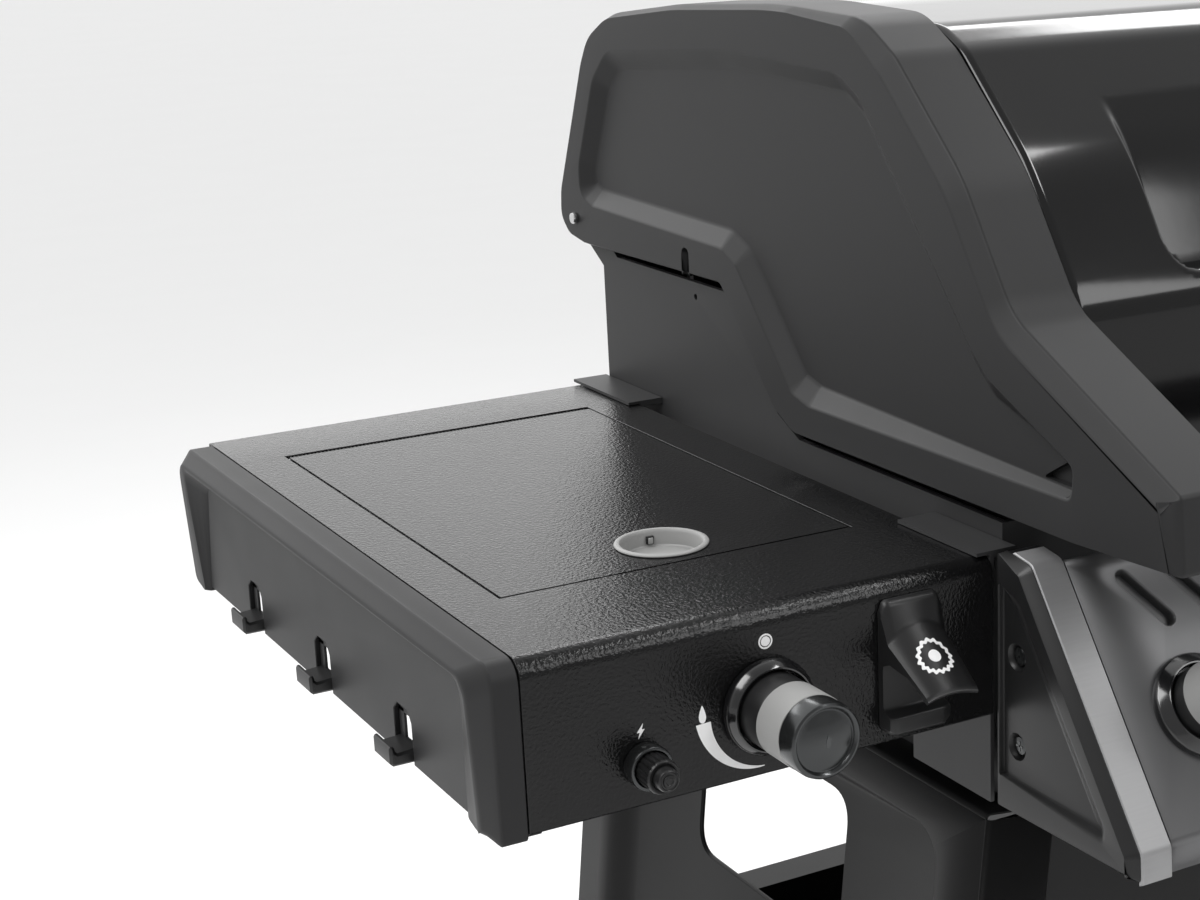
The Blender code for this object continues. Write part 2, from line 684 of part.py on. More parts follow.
def shelf_cap(name, side):
    """The moulded end of a shelf: a rim, a sunk side plate and three tool hooks."""
    outer, seam = -CAP_OUTER, -SHELF_SEAM + GAP
    rim = [(seam, CAP_BOTTOM), (outer, CAP_BOTTOM), (outer, SHELF_TOP - 0.009),
           (outer - 0.008, SHELF_TOP - 0.0005), (seam, SHELF_TOP)]
    item = prism(name, rim, FRONT, BACK, "Y")
    plate, plate_in = -CAP_PLATE, -CAP_PLATE - PLATE
    beyond, low_y, high_y = outer + 0.01, FRONT + 0.024, BACK - 0.020
    cut(item, box("cap_room", (seam - 0.01, FRONT + PLATE, 0.78),
                  (plate_in, BACK - PLATE, SHELF_TOP - PLATE), CUTTERS))
    cut(item, box("cap_sunk", (plate, low_y, 0.78), (beyond, high_y, 0.880), CUTTERS))
    cut(item, box("cap_sunk_low", (seam, low_y, 0.78), (beyond, high_y, 0.7975), CUTTERS))
    for y in HOOKS:
        low, high = (plate_in - 0.01, y - 0.0110, 0.808), (beyond, y + 0.0010, 0.821)
        cut(item, box("hook_window", low, high, CUTTERS))
        hook = [(-CAP_PLATE - 0.001, 0.7985), (-HOOK_OUTER, 0.7985), (-HOOK_OUTER, 0.8105),
                (-HOOK_OUTER - 0.004, 0.8105), (-HOOK_OUTER - 0.004, 0.8035), (-CAP_PLATE - 0.001, 0.8035)]
        join(item, prism("hook", hook, y - HOOK_HALF, y + HOOK_HALF, "Y", CUTTERS))
    if side < 0:
        mirror_parts(item)
    return finish(item, PLASTIC)


def bracket(name, side, low_y, high_y, low_z):
    """An angle that carries a shelf: a plate over the shelf's edge and one down the body's side."""
    line = [(0.349, 0.8904), (0.349, 0.8924), (0.3226, 0.8924), (0.3226, 0.8884), (0.3375, 0.8884),
            (0.3375, low_z), (0.3401, low_z), (0.3401, 0.8904)]
    item = prism(name, line, low_y, high_y, "Y")
    if side < 0:
        mirror_parts(item)
    return finish(item, SATIN)


def burner_lid():
    """The flat lid over the side burner, and the sunk finger cup that lifts it."""
    low = (*BURNER_LID_LOW, SHELF_TOP - SHEET)
    high = (*BURNER_LID_HIGH, SHELF_TOP)
    item = box("burner_lid", low, high)
    centre = (*PULL_CENTRE, 0.88), (*PULL_CENTRE, 0.90)
    cut(item, rod("pull_hole", *centre, 0.0250, 24, CUTTERS))
    hinge = joint("burner_lid_hinge", (-0.484, BURNER_HINGE_Y, BURNER_HINGE_Z))
    finish(item, TEXTURED, hinge)
    profile = [
        (0.0, -0.0085), (0.0180, -0.0085), (0.0190, -0.0070), (0.0190, 0.0014), (0.0215, 0.0018),
        (0.0255, 0.0016), (PULL_RADIUS, GAP), (0.0246, GAP), (0.0246, -0.0100), (0.0, -0.0100),
    ]
    pull = turned("burner_lid_pull", profile, (*PULL_CENTRE, SHELF_TOP), (0, 0, 1), 20)
    finish(pull, PALE_PLASTIC, hinge)


def burner_lid_rod():
    low, high = BURNER_LID_LOW[0] - 0.0025, BURNER_LID_HIGH[0] + 0.0025
    y, z = BURNER_HINGE_Y, BURNER_HINGE_Z - 0.0019
    return finish(rod("burner_lid_rod", (low, y, z), (high, y, z), 0.0010, 8), STEEL)


def side_burner_bowl():
    """The burner's well, hung under the shelf, with a rim inside that the lid rests over."""
    low, high = (-0.598, -0.128, 0.825), (-0.370, 0.2345, 0.8863)
    item = box("side_burner_bowl", low, high)
    cut(item, box("bowl_room", (low[0] + SHEET, low[1] + SHEET, low[2] + SHEET),
                  (high[0] - SHEET, high[1] - SHEET, high[2] - SHEET), CUTTERS))
    cut(item, box("bowl_mouth", (-0.588, -0.117, 0.84), (-0.380, 0.2185, 0.90), CUTTERS))
    return finish(item, STEEL)


def side_burner():
    low, high = (-0.560, -0.045, 0.8268), (-0.408, 0.150, 0.848)
    tile = box("side_burner_tile", low, high)
    for i in range(5):
        x = low[0] + 0.016 + i * 0.028
        groove = box("tile_groove", (x, low[1] + 0.012, 0.8465), (x + 0.009, high[1] - 0.012, 0.86), CUTTERS)
        cut(tile, groove)
    finish(tile, CERAMIC)
    return side_grate()


def side_grate():
    """A cast grate over the ceramic tile: two end bars, cross bars between them and four legs."""
    low_x, high_x, low_y, high_y, z = -0.582, -0.386, -0.105, 0.205, 0.864
    grate = box("side_burner_grate", (low_x, low_y, z), (low_x + 0.008, high_y, z + 0.010))
    join(grate, box("grate_end", (high_x - 0.008, low_y, z), (high_x, high_y, z + 0.010), CUTTERS))
    count = 7
    for i in range(count):
        y = low_y + 0.006 + i * (high_y - low_y - 0.018) / (count - 1)
        low = (low_x + 0.002, y, z + 0.001)
        join(grate, box("grate_bar", low, (high_x - 0.002, y + 0.006, z + 0.009), CUTTERS))
    for x in (low_x + 0.0015, high_x - 0.0065):
        for y in (low_y + 0.020, high_y - 0.025):
            join(grate, box("grate_leg", (x, y, 0.8269), (x + 0.005, y + 0.005, z + 0.004), CUTTERS))
    return finish(grate, CAST_IRON)


def side_controls():
    x, z = SIDE_KNOB
    centre = (x, FRONT, z)
    knob = turned("side_burner_knob", knob_profile(SIDE_KNOB_HEIGHT), centre, (0, -1, 0), 16)
    finish(knob, GLOSS_PLASTIC)
    ring = turned("side_knob_bezel", bezel_profile(SIDE_BEZEL_RADIUS), centre, (0, -1, 0), 18)
    finish(ring, GLOSS_PLASTIC)
    x, z = IGNITER
    centre = (x, FRONT, z)
    collar = [(0.0098, 0.0096), (0.0118, 0.0096), (0.0122, 0.0088), (0.0122, GAP), (0.0098, GAP)]
    finish(turned("igniter_collar", collar, centre, (0, -1, 0), 14), PLASTIC)
    button = [
        (0.0, 0.0290), (0.0055, 0.0286), (0.0062, 0.0270), (0.0064, 0.0232), (0.0086, 0.0224),
        (0.0092, 0.0214), (0.0092, 0.0046), (0.0066, 0.0046), (0.0066, -0.0080), (0.0, -0.0080),
    ]
    finish(turned("igniter_button", button, centre, (0, -1, 0), 14), PLASTIC)


def bottle_opener():
    """A hooded opener on the shelf's front: base plate, sloping hood and a catch below."""
    y = FRONT - GAP
    line = [
        (y, 0.8800), (y - 0.005, 0.8780), (-0.2290, 0.8660), (-0.2600, 0.8365), (-0.2570, 0.8335),
        (-0.2255, 0.8480), (-0.2220, 0.8440), (-0.2220, 0.8200), (-0.2290, 0.8160), (-0.2290, 0.8050),
        (y, 0.8038),
    ]
    item = prism("bottle_opener", line, -0.4170, -0.3780)
    return finish(soften(item, 0.0015, 1, 50), PLASTIC)


# ---------------------------------------------------------------- cart


def splay(item, side):
    """Leans a cart side outwards towards its foot, about its top edge."""
    top = Vector((side * BODY_HALF, 0, CART_TOP))
    lean = Matrix.Rotation(-side * CART_SPLAY, 4, "Y")
    helpers = [item] + [step.object for step in item.modifiers if step.type == "BOOLEAN"]
    for helper in helpers:
        helper.data.transform(Matrix.Translation(top) @ lean @ Matrix.Translation(-top))
    return item


def cart_side(name, side):
    """A folded steel side: outer sheet, front and rear leg faces, a carrying hole and an inner flange."""
    outer, inner = BODY_HALF, BODY_HALF - LEG_FACE
    foot = 0.020
    item = box(name, (inner, CART_FRONT, foot), (outer, CART_BACK, CART_TOP))
    cut(item, box("leg_room", (inner - 0.01, CART_FRONT + SHEET, 0.0),
                  (outer - SHEET, CART_BACK - SHEET, CART_TOP - SHEET), CUTTERS))
    hole = rounded_box(-0.060, 0.130, 0.579, 0.681, 0.020)
    cut(item, prism("carry_hole", hole, outer - 0.02, outer + 0.02, group=CUTTERS))
    arch = rounded_box(-0.110, 0.120, -0.02, 0.095, 0.030)
    cut(item, prism("side_arch", arch, outer - 0.06, outer + 0.02, group=CUTTERS))
    splay(item, 1)
    bore = (0.35, WHEEL_Y, WHEEL_RADIUS), (0.50, WHEEL_Y, WHEEL_RADIUS)
    cut(item, rod("axle_hole", *bore, 0.0055, 12, CUTTERS))
    if side < 0:
        mirror_parts(item)
    return finish(item, CART_PAINT)


def rounded_box(low_y, high_y, low_z, high_z, radius):
    corners = [(high_y - radius, high_z - radius, 0), (low_y + radius, high_z - radius, 90),
               (low_y + radius, low_z + radius, 180), (high_y - radius, low_z + radius, 270)]
    line = []
    for y, z, start in corners:
        line += arc((y, z), radius, start, start + 90, 4)
    return line


def side_inner(z):
    """Half the clear width between the cart's sides at this height."""
    return BODY_HALF - SHEET - GAP - 0.0006 + math.tan(CART_SPLAY) * (CART_TOP - z)


def cart_back_panel():
    """The low sheet across the cart's rear, with a flange along its top."""
    top, low = 0.458, 0.180
    line = [(-side_inner(low), low), (side_inner(low), low), (side_inner(top), top), (-side_inner(top), top)]
    back = CART_BACK - SHEET - GAP
    item = prism("cart_back_panel", line, back - SHEET, back, "Y")
    low_corner = (-side_inner(top), back - 0.033, top - SHEET)
    join(item, box("back_flange", low_corner, (side_inner(top), back, top), CUTTERS))
    return finish(item, CART_PAINT)


def leg_inner(z):
    """Half the clear width between the front leg faces at this height."""
    return side_inner(z) + SHEET - LEG_FACE / math.cos(CART_SPLAY)


def door(name, side):
    """A flat door, set back between the legs, hinged along the leg's slant."""
    top, low = 0.708, 0.175
    middle = 0.0015
    outer_gap = 0.0022
    low_edge, top_edge = leg_inner(low) - outer_gap, leg_inner(top) - outer_gap
    line = [(middle, low), (low_edge, low), (top_edge, top), (middle, top)]
    front = CART_FRONT + 0.005
    item = prism(name, line, front, front + 0.016, "Y")
    rim = 0.006
    room = [(middle + SHEET, low + SHEET), (low_edge - rim, low + SHEET),
            (top_edge - rim, top - SHEET), (middle + SHEET, top - SHEET)]
    cut(item, prism("door_room", room, front + SHEET, front + 0.03, "Y", CUTTERS))
    cut(item, box("door_grip", (-0.01, front - 0.01, 0.58), (0.016, front + 0.006, 0.66), CUTTERS))
    back = (middle, front + 0.0045, 0.575), (0.020, front + 0.0060, 0.665)
    join(item, box("door_grip_back", *back, CUTTERS))
    if side < 0:
        mirror_parts(item)
    return finish(item, CART_PAINT, joint(f"{name}_hinge", door_hinge(side)))


def door_hinge(side):
    """The top end of a door's axis, at the leg's inner edge."""
    z = 0.708
    return (side * (leg_inner(z) - 0.0045), CART_FRONT + 0.006, z)


def cart_front_rail():
    z = 0.7115
    half = leg_inner(z) - 0.001
    item = box("cart_front_rail", (-half, CART_FRONT + 0.003, z), (half, CART_FRONT + 0.028, z + 0.017))
    cut(item, box("rail_room", (-1, CART_FRONT + 0.003 + SHEET, z - 0.01),
                  (1, CART_FRONT + 0.028 - SHEET, z + 0.017 - SHEET), CUTTERS))
    return finish(item, CART_PAINT)


def bottom_shelf():
    low = BOTTOM_SHELF_Z - 0.012
    half = side_inner(BOTTOM_SHELF_Z) - 0.002
    item = box("bottom_shelf", (-half, CART_FRONT + 0.030, low), (half, CART_BACK - 0.006, BOTTOM_SHELF_Z))
    cut(item, box("shelf_room", (-half + SHEET, CART_FRONT + 0.030 + SHEET, low - 0.01),
                  (half - SHEET, CART_BACK - 0.006 - SHEET, BOTTOM_SHELF_Z - SHEET), CUTTERS))
    return finish(item, CART_PAINT)


def foot(name, side):
    """A levelling foot: a threaded stem and a round pad."""
    profile = [
        (0.0, 0.030), (0.006, 0.030), (0.006, 0.020), (0.016, 0.016), (0.018, 0.010), (0.018, 0.0),
        (0.0, 0.0),
    ]
    centre = (side * FOOT_X, CART_FRONT + 0.030, 0)
    return finish(turned(name, profile, centre, (0, 0, 1), 14), RUBBER)


def wheel(name, side):
    """A moulded wheel with a tread, a dished side and a hub."""
    half = WHEEL_WIDTH / 2
    profile = [
        (0.0062, 0.016), (0.014, 0.016), (0.016, 0.008), (0.056, 0.006), (0.060, half), (0.071, half),
        (WHEEL_RADIUS, half - 0.004), (WHEEL_RADIUS, -half + 0.004), (0.071, -half), (0.060, -half),
        (0.056, -0.006), (0.016, -0.008), (0.014, -0.016), (0.0062, -0.016),
    ]
    centre = (side * WHEEL_X, WHEEL_Y, WHEEL_RADIUS)
    return finish(turned(name, profile, centre, (1, 0, 0), 28), RUBBER)


def axle():
    half = BODY_HALF + math.tan(CART_SPLAY) * (CART_TOP - WHEEL_RADIUS) + 0.004
    item = rod("axle", (-half, WHEEL_Y, WHEEL_RADIUS), (half, WHEEL_Y, WHEEL_RADIUS), 0.0050, 12)
    return finish(item, STEEL)


def lid():
    hood()
    lid_end("lid_end_left", -1)
    lid_end("lid_end_right", 1)
    lid_handle()
    thermometer()


def cook_box():
    firebox()
    hinge_pin("hinge_pin_left", -1)
    hinge_pin("hinge_pin_right", 1)
    for number, x in enumerate(MAIN_KNOBS, 1):
        burner(number, x * BURNER_SPREAD)
    for number, x in enumerate(MAIN_KNOBS, 1):
        heat_shield(number, x * BURNER_SPREAD)
    cooking_grate("cooking_grate_left", -0.316, -0.001)
    cooking_grate("cooking_grate_right", 0.001, 0.316)
    warming_rack()
    gas_manifold()
    drip_tray()


def controls():
    control_panel()
    control_end("control_end_left", -1)
    control_end("control_end_right", 1)
    main_knobs()


def shelves():
    side_burner_shelf()
    shelf_cap("shelf_left_cap", -1)
    plain_shelf()
    shelf_cap("shelf_right_cap", 1)
    for side, word in ((-1, "left"), (1, "right")):
        bracket(f"bracket_{word}_front", side, CART_FRONT - 0.0008, -0.134, 0.742)
        bracket(f"bracket_{word}_rear", side, 0.2126, 0.3025, 0.800)
    burner_lid()
    burner_lid_rod()
    side_burner_bowl()
    side_burner()
    side_controls()
    bottle_opener()


def cart():
    cart_side("cart_side_left", -1)
    cart_side("cart_side_right", 1)
    cart_back_panel()
    door("door_left", -1)
    door("door_right", 1)
    cart_front_rail()
    bottom_shelf()
    foot("foot_left", -1)
    foot("foot_right", 1)
    wheel("wheel_left", -1)
    wheel("wheel_right", 1)
    axle()


lid()
cook_box()
controls()
shelves()
cart()
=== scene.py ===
"""Looks of a gas barbecue grill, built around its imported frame. Metres, +Z up, the cook stands at -Y."""

import json
import math

import bmesh
import bpy
from mathutils import Matrix, Vector

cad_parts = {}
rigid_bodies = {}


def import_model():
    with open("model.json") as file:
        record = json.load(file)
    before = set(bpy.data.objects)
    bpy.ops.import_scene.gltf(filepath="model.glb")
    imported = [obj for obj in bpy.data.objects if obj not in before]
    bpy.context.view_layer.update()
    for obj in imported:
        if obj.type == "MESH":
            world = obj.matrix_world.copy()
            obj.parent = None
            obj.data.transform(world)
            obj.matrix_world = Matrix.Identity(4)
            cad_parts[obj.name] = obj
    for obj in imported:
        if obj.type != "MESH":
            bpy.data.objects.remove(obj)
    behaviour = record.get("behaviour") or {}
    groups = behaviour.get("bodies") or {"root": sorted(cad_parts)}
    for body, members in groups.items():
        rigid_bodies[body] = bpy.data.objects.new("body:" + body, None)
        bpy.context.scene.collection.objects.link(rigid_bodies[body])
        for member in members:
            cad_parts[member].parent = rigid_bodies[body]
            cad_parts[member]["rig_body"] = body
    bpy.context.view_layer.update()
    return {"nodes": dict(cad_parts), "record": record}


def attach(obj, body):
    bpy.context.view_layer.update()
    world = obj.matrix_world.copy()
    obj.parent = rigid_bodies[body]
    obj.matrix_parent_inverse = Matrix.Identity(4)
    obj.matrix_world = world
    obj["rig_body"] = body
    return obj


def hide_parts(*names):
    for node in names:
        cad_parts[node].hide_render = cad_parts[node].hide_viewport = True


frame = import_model()
NODES = frame["nodes"]

# Camera, fitted to the view from the front left
CAMERA_PLACE = (-1.029, -1.185, 1.276)
CAMERA_YAW = 30.76
CAMERA_DOWN = 16.37
CAMERA_ROLL = -1.50
CAMERA_LENS = 67.8
CAMERA_SHIFT = (-0.180, 0.0375)

# Strength of the studio's surroundings in front of the grill and behind it, and where the one gives way
WORLD_FRONT = 0.45
WORLD_BACK = 1.5
WORLD_FADE = (-0.35, 0.55)

# Looks: the glossiest that a blotch gets, and the pointiness over which an edge turns from new to worn
LEAST_ROUGH = 0.02
WORN_EDGE = (0.54, 0.64)

# Meshes: points this near are one, and a turned solid's centre points stand this far off its axis
SAME_POINT = 1e-7
ON_AXIS = 1e-5

# The grill's main planes. FRONT and BACK are the side shelves' edges, and SEAM is where a shelf meets its cap
LID_HALF = 0.329
LID_BAND = 0.052
HOOD_HALF = 0.2766
SHELF_TOP = 0.890
FRONT = -0.2174
BACK = 0.295
SEAM = -0.6248
BODY_HALF = 0.3405
CONTROL_HALF = 0.3115

# The control panel's upper and lower edges, and the way it faces
PANEL_TOP = Vector((0, -0.242, 0.8895))
PANEL_LOW = Vector((0, -0.3385, 0.7555))
PANEL_OUT = Vector((0, -0.8115, 0.5844))

# The cart sides' top, and how far they lean outwards to the ground
CART_TOP = 0.733
CART_SPLAY = math.radians(6.56)

# The lid's hinge axis (Y and Z), handle and thermometer, and the middle of the burner lid's finger pull
HINGE = (0.326, 1.007)
HANDLE = (0, -0.336, 0.932)
DIAL = Vector((0, -0.1525, 1.0775))
DIAL_OUT = Vector((0, -0.870, 0.493))
PULL = Vector((-0.4789, -0.0879, SHELF_TOP))

# Fittings on the shelf's front, as X and Z or X alone
SIDE_KNOB = (-0.4868, 0.8362)
IGNITER = (-0.5595, 0.8205)
OPENER_MIDDLE = -0.3975

# The main knobs' X, how far down the control panel they sit, and the Y and Z of each panel end's screws
MAIN_KNOBS = (-0.262, 0.0, 0.262)
KNOB_DOWN_PANEL = 0.59
END_SCREWS = [(-0.2330, 0.8349), (-0.2334, 0.7819)]


# ---------------------------------------------------------------- materials


def link(tree, source, target):
    tree.links.new(source, target)


def node(tree, kind, **inputs):
    made = tree.nodes.new(kind)
    for name, value in inputs.items():
        made.inputs[name.replace("_", " ")].default_value = value
    return made


def value_range(tree, source, low, high, first=0.0, last=1.0):
    """Spreads a value that runs from first to last over low to high."""
    made = node(tree, "ShaderNodeMapRange", From_Min=first, From_Max=last, To_Min=low, To_Max=high)
    link(tree, source, made.inputs["Value"])
    return made.outputs["Result"]


def blend(tree, factor, second):
    """A colour mix towards second, by a socket's value. Its A side is left for the caller."""
    made = tree.nodes.new("ShaderNodeMix")
    made.data_type = "RGBA"
    made.inputs["B"].default_value = (*second, 1)
    link(tree, factor, made.inputs["Factor"])
    return made


def surface(name, colour, rough, metallic=0.0, specular=0.5, coat=0.0, coat_rough=0.1,
            grain=(900, 0.10, 0.0002), mottle=(18, 0.12), tone=0.25, wear=0.25, stretch=(1, 1, 1)):
    """A painted, moulded or metal surface: grain as bump, blotches in gloss and tone, and paler worn edges.

    grain is (scale, strength, depth in metres), mottle is (scale, spread of roughness), and tone is the
    spread of brightness. stretch draws the pattern out along an axis, as on brushed metal.
    """
    made = bpy.data.materials.new(name)
    made.use_nodes = True
    tree = made.node_tree
    shader = tree.nodes["Principled BSDF"]
    for socket, value in (("Metallic", metallic), ("Specular IOR Level", specular), ("Coat Weight", coat),
                          ("Coat Roughness", coat_rough)):
        shader.inputs[socket].default_value = value
    place = tree.nodes.new("ShaderNodeTexCoord")
    mapping = tree.nodes.new("ShaderNodeMapping")
    mapping.inputs["Scale"].default_value = stretch
    link(tree, place.outputs["Object"], mapping.inputs["Vector"])
    blotch = node(tree, "ShaderNodeTexNoise", Scale=mottle[0], Detail=6.0)
    link(tree, mapping.outputs["Vector"], blotch.inputs["Vector"])
    fine = node(tree, "ShaderNodeTexNoise", Scale=grain[0], Detail=2.0)
    link(tree, mapping.outputs["Vector"], fine.inputs["Vector"])
    rough_low = max(rough - mottle[1] / 2, LEAST_ROUGH)
    rough_out = value_range(tree, blotch.outputs["Fac"], rough_low, min(rough + mottle[1] / 2, 1.0))
    link(tree, rough_out, shader.inputs["Roughness"])
    mix = blend(tree, blotch.outputs["Fac"], [min(c * (1 + tone), 1.0) for c in colour])
    mix.inputs["A"].default_value = (*[c * (1 - tone) for c in colour], 1)
    edge = tree.nodes.new("ShaderNodeNewGeometry")
    share = value_range(tree, edge.outputs["Pointiness"], 0.0, wear, *WORN_EDGE)
    worn = blend(tree, share, [min(c * 2.2 + 0.03, 1.0) for c in colour])
    link(tree, mix.outputs["Result"], worn.inputs["A"])
    link(tree, worn.outputs["Result"], shader.inputs["Base Color"])
    bump = node(tree, "ShaderNodeBump", Strength=grain[1], Distance=grain[2])
    link(tree, fine.outputs["Fac"], bump.inputs["Height"])
    link(tree, bump.outputs["Normal"], shader.inputs["Normal"])
    return made


def plain_print(name, colour):
    """Matt printed ink with a slightly uneven coat."""
    return surface(name, colour, 0.55, grain=(1500, 0.05, 0.0001), mottle=(60, 0.1), tone=0.03, wear=0.0)


TEXTURED = surface("textured_powder_coat", (0.0042, 0.0042, 0.0044), 0.19, specular=0.27,
                   grain=(520, 0.90, 0.00042), mottle=(10, 0.05), tone=0.2, wear=0.12)
SATIN = surface("satin_cast_coat", (0.019, 0.019, 0.0195), 0.46, specular=0.2,
                grain=(1600, 0.22, 0.000090), mottle=(14, 0.10), tone=0.10, wear=0.25)
ENAMEL = surface("gloss_enamel", (0.0040, 0.0040, 0.0042), 0.10, specular=0.4,
                 grain=(70, 0.05, 0.000360), mottle=(9, 0.04), tone=0.15, wear=0.1)
PLASTIC = surface("satin_plastic", (0.018, 0.018, 0.0185), 0.46, specular=0.16,
                  grain=(2400, 0.30, 0.00006), mottle=(20, 0.08), tone=0.08, wear=0.25)
BLACK_PLASTIC = surface("black_plastic", (0.0095, 0.0095, 0.0098), 0.36, specular=0.35,
                        grain=(1800, 0.2, 0.00006), mottle=(25, 0.1), tone=0.1, wear=0.2)
PANEL_PAINT = surface("panel_paint", (0.105, 0.105, 0.107), 0.42, metallic=0.75,
                      grain=(2600, 0.25, 0.000045), mottle=(16, 0.08), tone=0.08, wear=0.3)
BAND_METAL = surface("brushed_band", (0.24, 0.24, 0.243), 0.45, metallic=0.35,
                     grain=(240, 0.25, 0.00006), mottle=(40, 0.12), tone=0.08, wear=0.2, stretch=(1, 14, 14))
GLOSS = surface("gloss_black_plastic", (0.0065, 0.0065, 0.007), 0.14, specular=0.6, coat=0.3,
                grain=(300, 0.04, 0.000090), mottle=(30, 0.06), tone=0.1, wear=0.15)
DARK_CHROME = surface("dark_chrome", (0.055, 0.057, 0.058), 0.20, metallic=0.85,
                      grain=(900, 0.05, 0.00003), mottle=(50, 0.08), tone=0.1, wear=0.3)
GREY_GRIP = surface("grey_grip", (0.25, 0.25, 0.246), 0.62,
                    grain=(3000, 0.3, 0.00006), mottle=(40, 0.1), tone=0.05, wear=0.1)
PALE_PLASTIC = surface("pale_plastic", (0.27, 0.27, 0.266), 0.50,
                       grain=(2600, 0.2, 0.00006), mottle=(40, 0.1), tone=0.04, wear=0.1)
CART_PAINT = surface("cart_paint", (0.0085, 0.0085, 0.0087), 0.45, specular=0.13,
                     grain=(900, 0.25, 0.000120), mottle=(12, 0.1), tone=0.12, wear=0.2)
STEEL = surface("brushed_steel", (0.50, 0.50, 0.51), 0.32, metallic=1.0,
                grain=(500, 0.2, 0.00006), mottle=(30, 0.15), tone=0.1, wear=0.1, stretch=(1, 12, 1))
BRIGHT = surface("bright_steel", (0.62, 0.62, 0.62), 0.25, metallic=1.0,
                 grain=(800, 0.1, 0.00003), mottle=(60, 0.12), tone=0.08, wear=0.1)
CAST_IRON = surface("cast_iron", (0.018, 0.017, 0.017), 0.62, specular=0.4,
                    grain=(350, 0.6, 0.0008), mottle=(40, 0.2), tone=0.3, wear=0.3)
CERAMIC = surface("ceramic_tile", (0.62, 0.57, 0.49), 0.88,
                  grain=(1300, 0.5, 0.0005), mottle=(60, 0.1), tone=0.15, wear=0.1)
RUBBER = surface("wheel_rubber", (0.016, 0.016, 0.016), 0.72, specular=0.35,
                 grain=(700, 0.4, 0.0004), mottle=(30, 0.15), tone=0.15, wear=0.3)
WHITE_PRINT = plain_print("white_print", (0.80, 0.80, 0.80))
DIAL_FACE = plain_print("dial_face", (0.72, 0.72, 0.71))
RED_PRINT = plain_print("red_print", (0.45, 0.03, 0.02))

SLOT_LOOK = {
    "textured_coat": TEXTURED, "satin_coat": SATIN, "gloss_enamel": ENAMEL, "panel_paint": PANEL_PAINT,
    "satin_plastic": PLASTIC, "gloss_plastic": GLOSS, "pale_plastic": PALE_PLASTIC,
    "cart_paint": CART_PAINT, "steel": STEEL, "cast_iron": CAST_IRON, "ceramic_tile": CERAMIC,
    "wheel_rubber": RUBBER,
}
NODE_SLOT = {part["node"]: part["material_slot"] for part in frame["record"]["subparts"]}
NODE_BODY = {name: item["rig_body"] for name, item in NODES.items()}


# ---------------------------------------------------------------- mesh helpers


def smooth(item, angle=32):
    item.data.shade_smooth()
    item.data.set_sharp_from_angle(angle=math.radians(angle))


def soften(item, width, segments=3, angle=35):
    step = item.modifiers.new("soften", "BEVEL")
    step.width = width
    step.segments = segments
    step.limit_method = "ANGLE"
    step.angle_limit = math.radians(angle)
    step.use_clamp_overlap = True
    step.harden_normals = True
    return item


def even_normals(item):
    """Shades by face size, so that flat faces stay flat beside small bevels."""
    item.modifiers.new("even", "WEIGHTED_NORMAL").keep_sharp = True


def thicken(item, thickness):
    """Gives an open sheet its thickness, inwards from its outer face."""
    sheet = item.modifiers.new("sheet", "SOLIDIFY")
    sheet.thickness = thickness
    sheet.offset = -1.0
    return sheet


def in_scene(name, shape):
    """Makes a finished bmesh into an object of the scene, with its faces turned outwards."""
    bmesh.ops.recalc_face_normals(shape, faces=shape.faces)
    mesh = bpy.data.meshes.new(name)
    shape.to_mesh(mesh)
    shape.free()
    item = bpy.data.objects.new(name, mesh)
    bpy.context.scene.collection.objects.link(item)
    return item


def mirrored(shape, side):
    """Shapes are drawn for the right-hand side, and turned over for the left-hand one."""
    if side < 0:
        shape.transform(Matrix.Scale(-1, 4, (1, 0, 0)))


def piece(name, shape, look, target, stands_for=True, slot=None, angle=32):
    """A finished mesh piece. target is the CAD node that it stands for, or only rides with."""
    bmesh.ops.remove_doubles(shape, verts=shape.verts, dist=SAME_POINT)
    item = in_scene(name, shape)
    item.data.materials.append(look)
    smooth(item, angle)
    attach(item, NODE_BODY[target])
    if stands_for:
        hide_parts(target)
    return item


def trim(name, shape, look, target, slot=None):
    """A piece that only rides with a node, which another piece stands for or which shows itself."""
    return piece(name, shape, look, target, stands_for=False, slot=slot)


def add_box(shape, low, high):
    made = bmesh.ops.create_cube(shape, size=1.0)["verts"]
    bmesh.ops.scale(shape, vec=Vector(high) - Vector(low), verts=made)
    bmesh.ops.translate(shape, vec=(Vector(high) + Vector(low)) / 2, verts=made)
    return made


def rings(shape, levels, first_cap=True, last_cap=True, closed=True, wrap=False):
    """Quads between rings of points, each with the same count. wrap joins the last ring to the first."""
    rows = [[shape.verts.new(p) for p in level] for level in levels]
    count = len(rows[0])
    span = count if closed else count - 1
    for a, b in zip(rows, rows[1:] + rows[:wrap]):
        for i in range(span):
            j = (i + 1) % count
            shape.faces.new((a[i], a[j], b[j], b[i]))
    if first_cap:
        shape.faces.new(rows[0][::-1])
    if last_cap:
        shape.faces.new(rows[-1])
    return rows


def tube(shape, levels):
    """Quads between closed rings of points, open at both ends."""
    return rings(shape, levels, first_cap=False, last_cap=False)


def open_sheet(shape, rows):
    """Quads between rows of points, with open edges all round."""
    return rings(shape, rows, first_cap=False, last_cap=False, closed=False)


def turning(direction, centre):
    """A frame whose Z is the direction."""
    turn = Vector(direction).to_track_quat("Z", "Y").to_matrix().to_4x4()
    return Matrix.Translation(Vector(centre)) @ turn


def mm(points):
    """Points given in millimetres, in metres."""
    return [tuple(value / 1000 for value in point) for point in points]


def circle(count):
    """Angles all the way round, at an even pitch."""
    return [2 * math.pi * i / count for i in range(count)]


def turned(profile, place, steps):
    """Rings of points round the Z axis of place, one for each (radius, height) of the profile."""
    return [[place @ Vector((radius * math.cos(a), radius * math.sin(a), height)) for a in circle(steps)]
            for radius, height in profile]


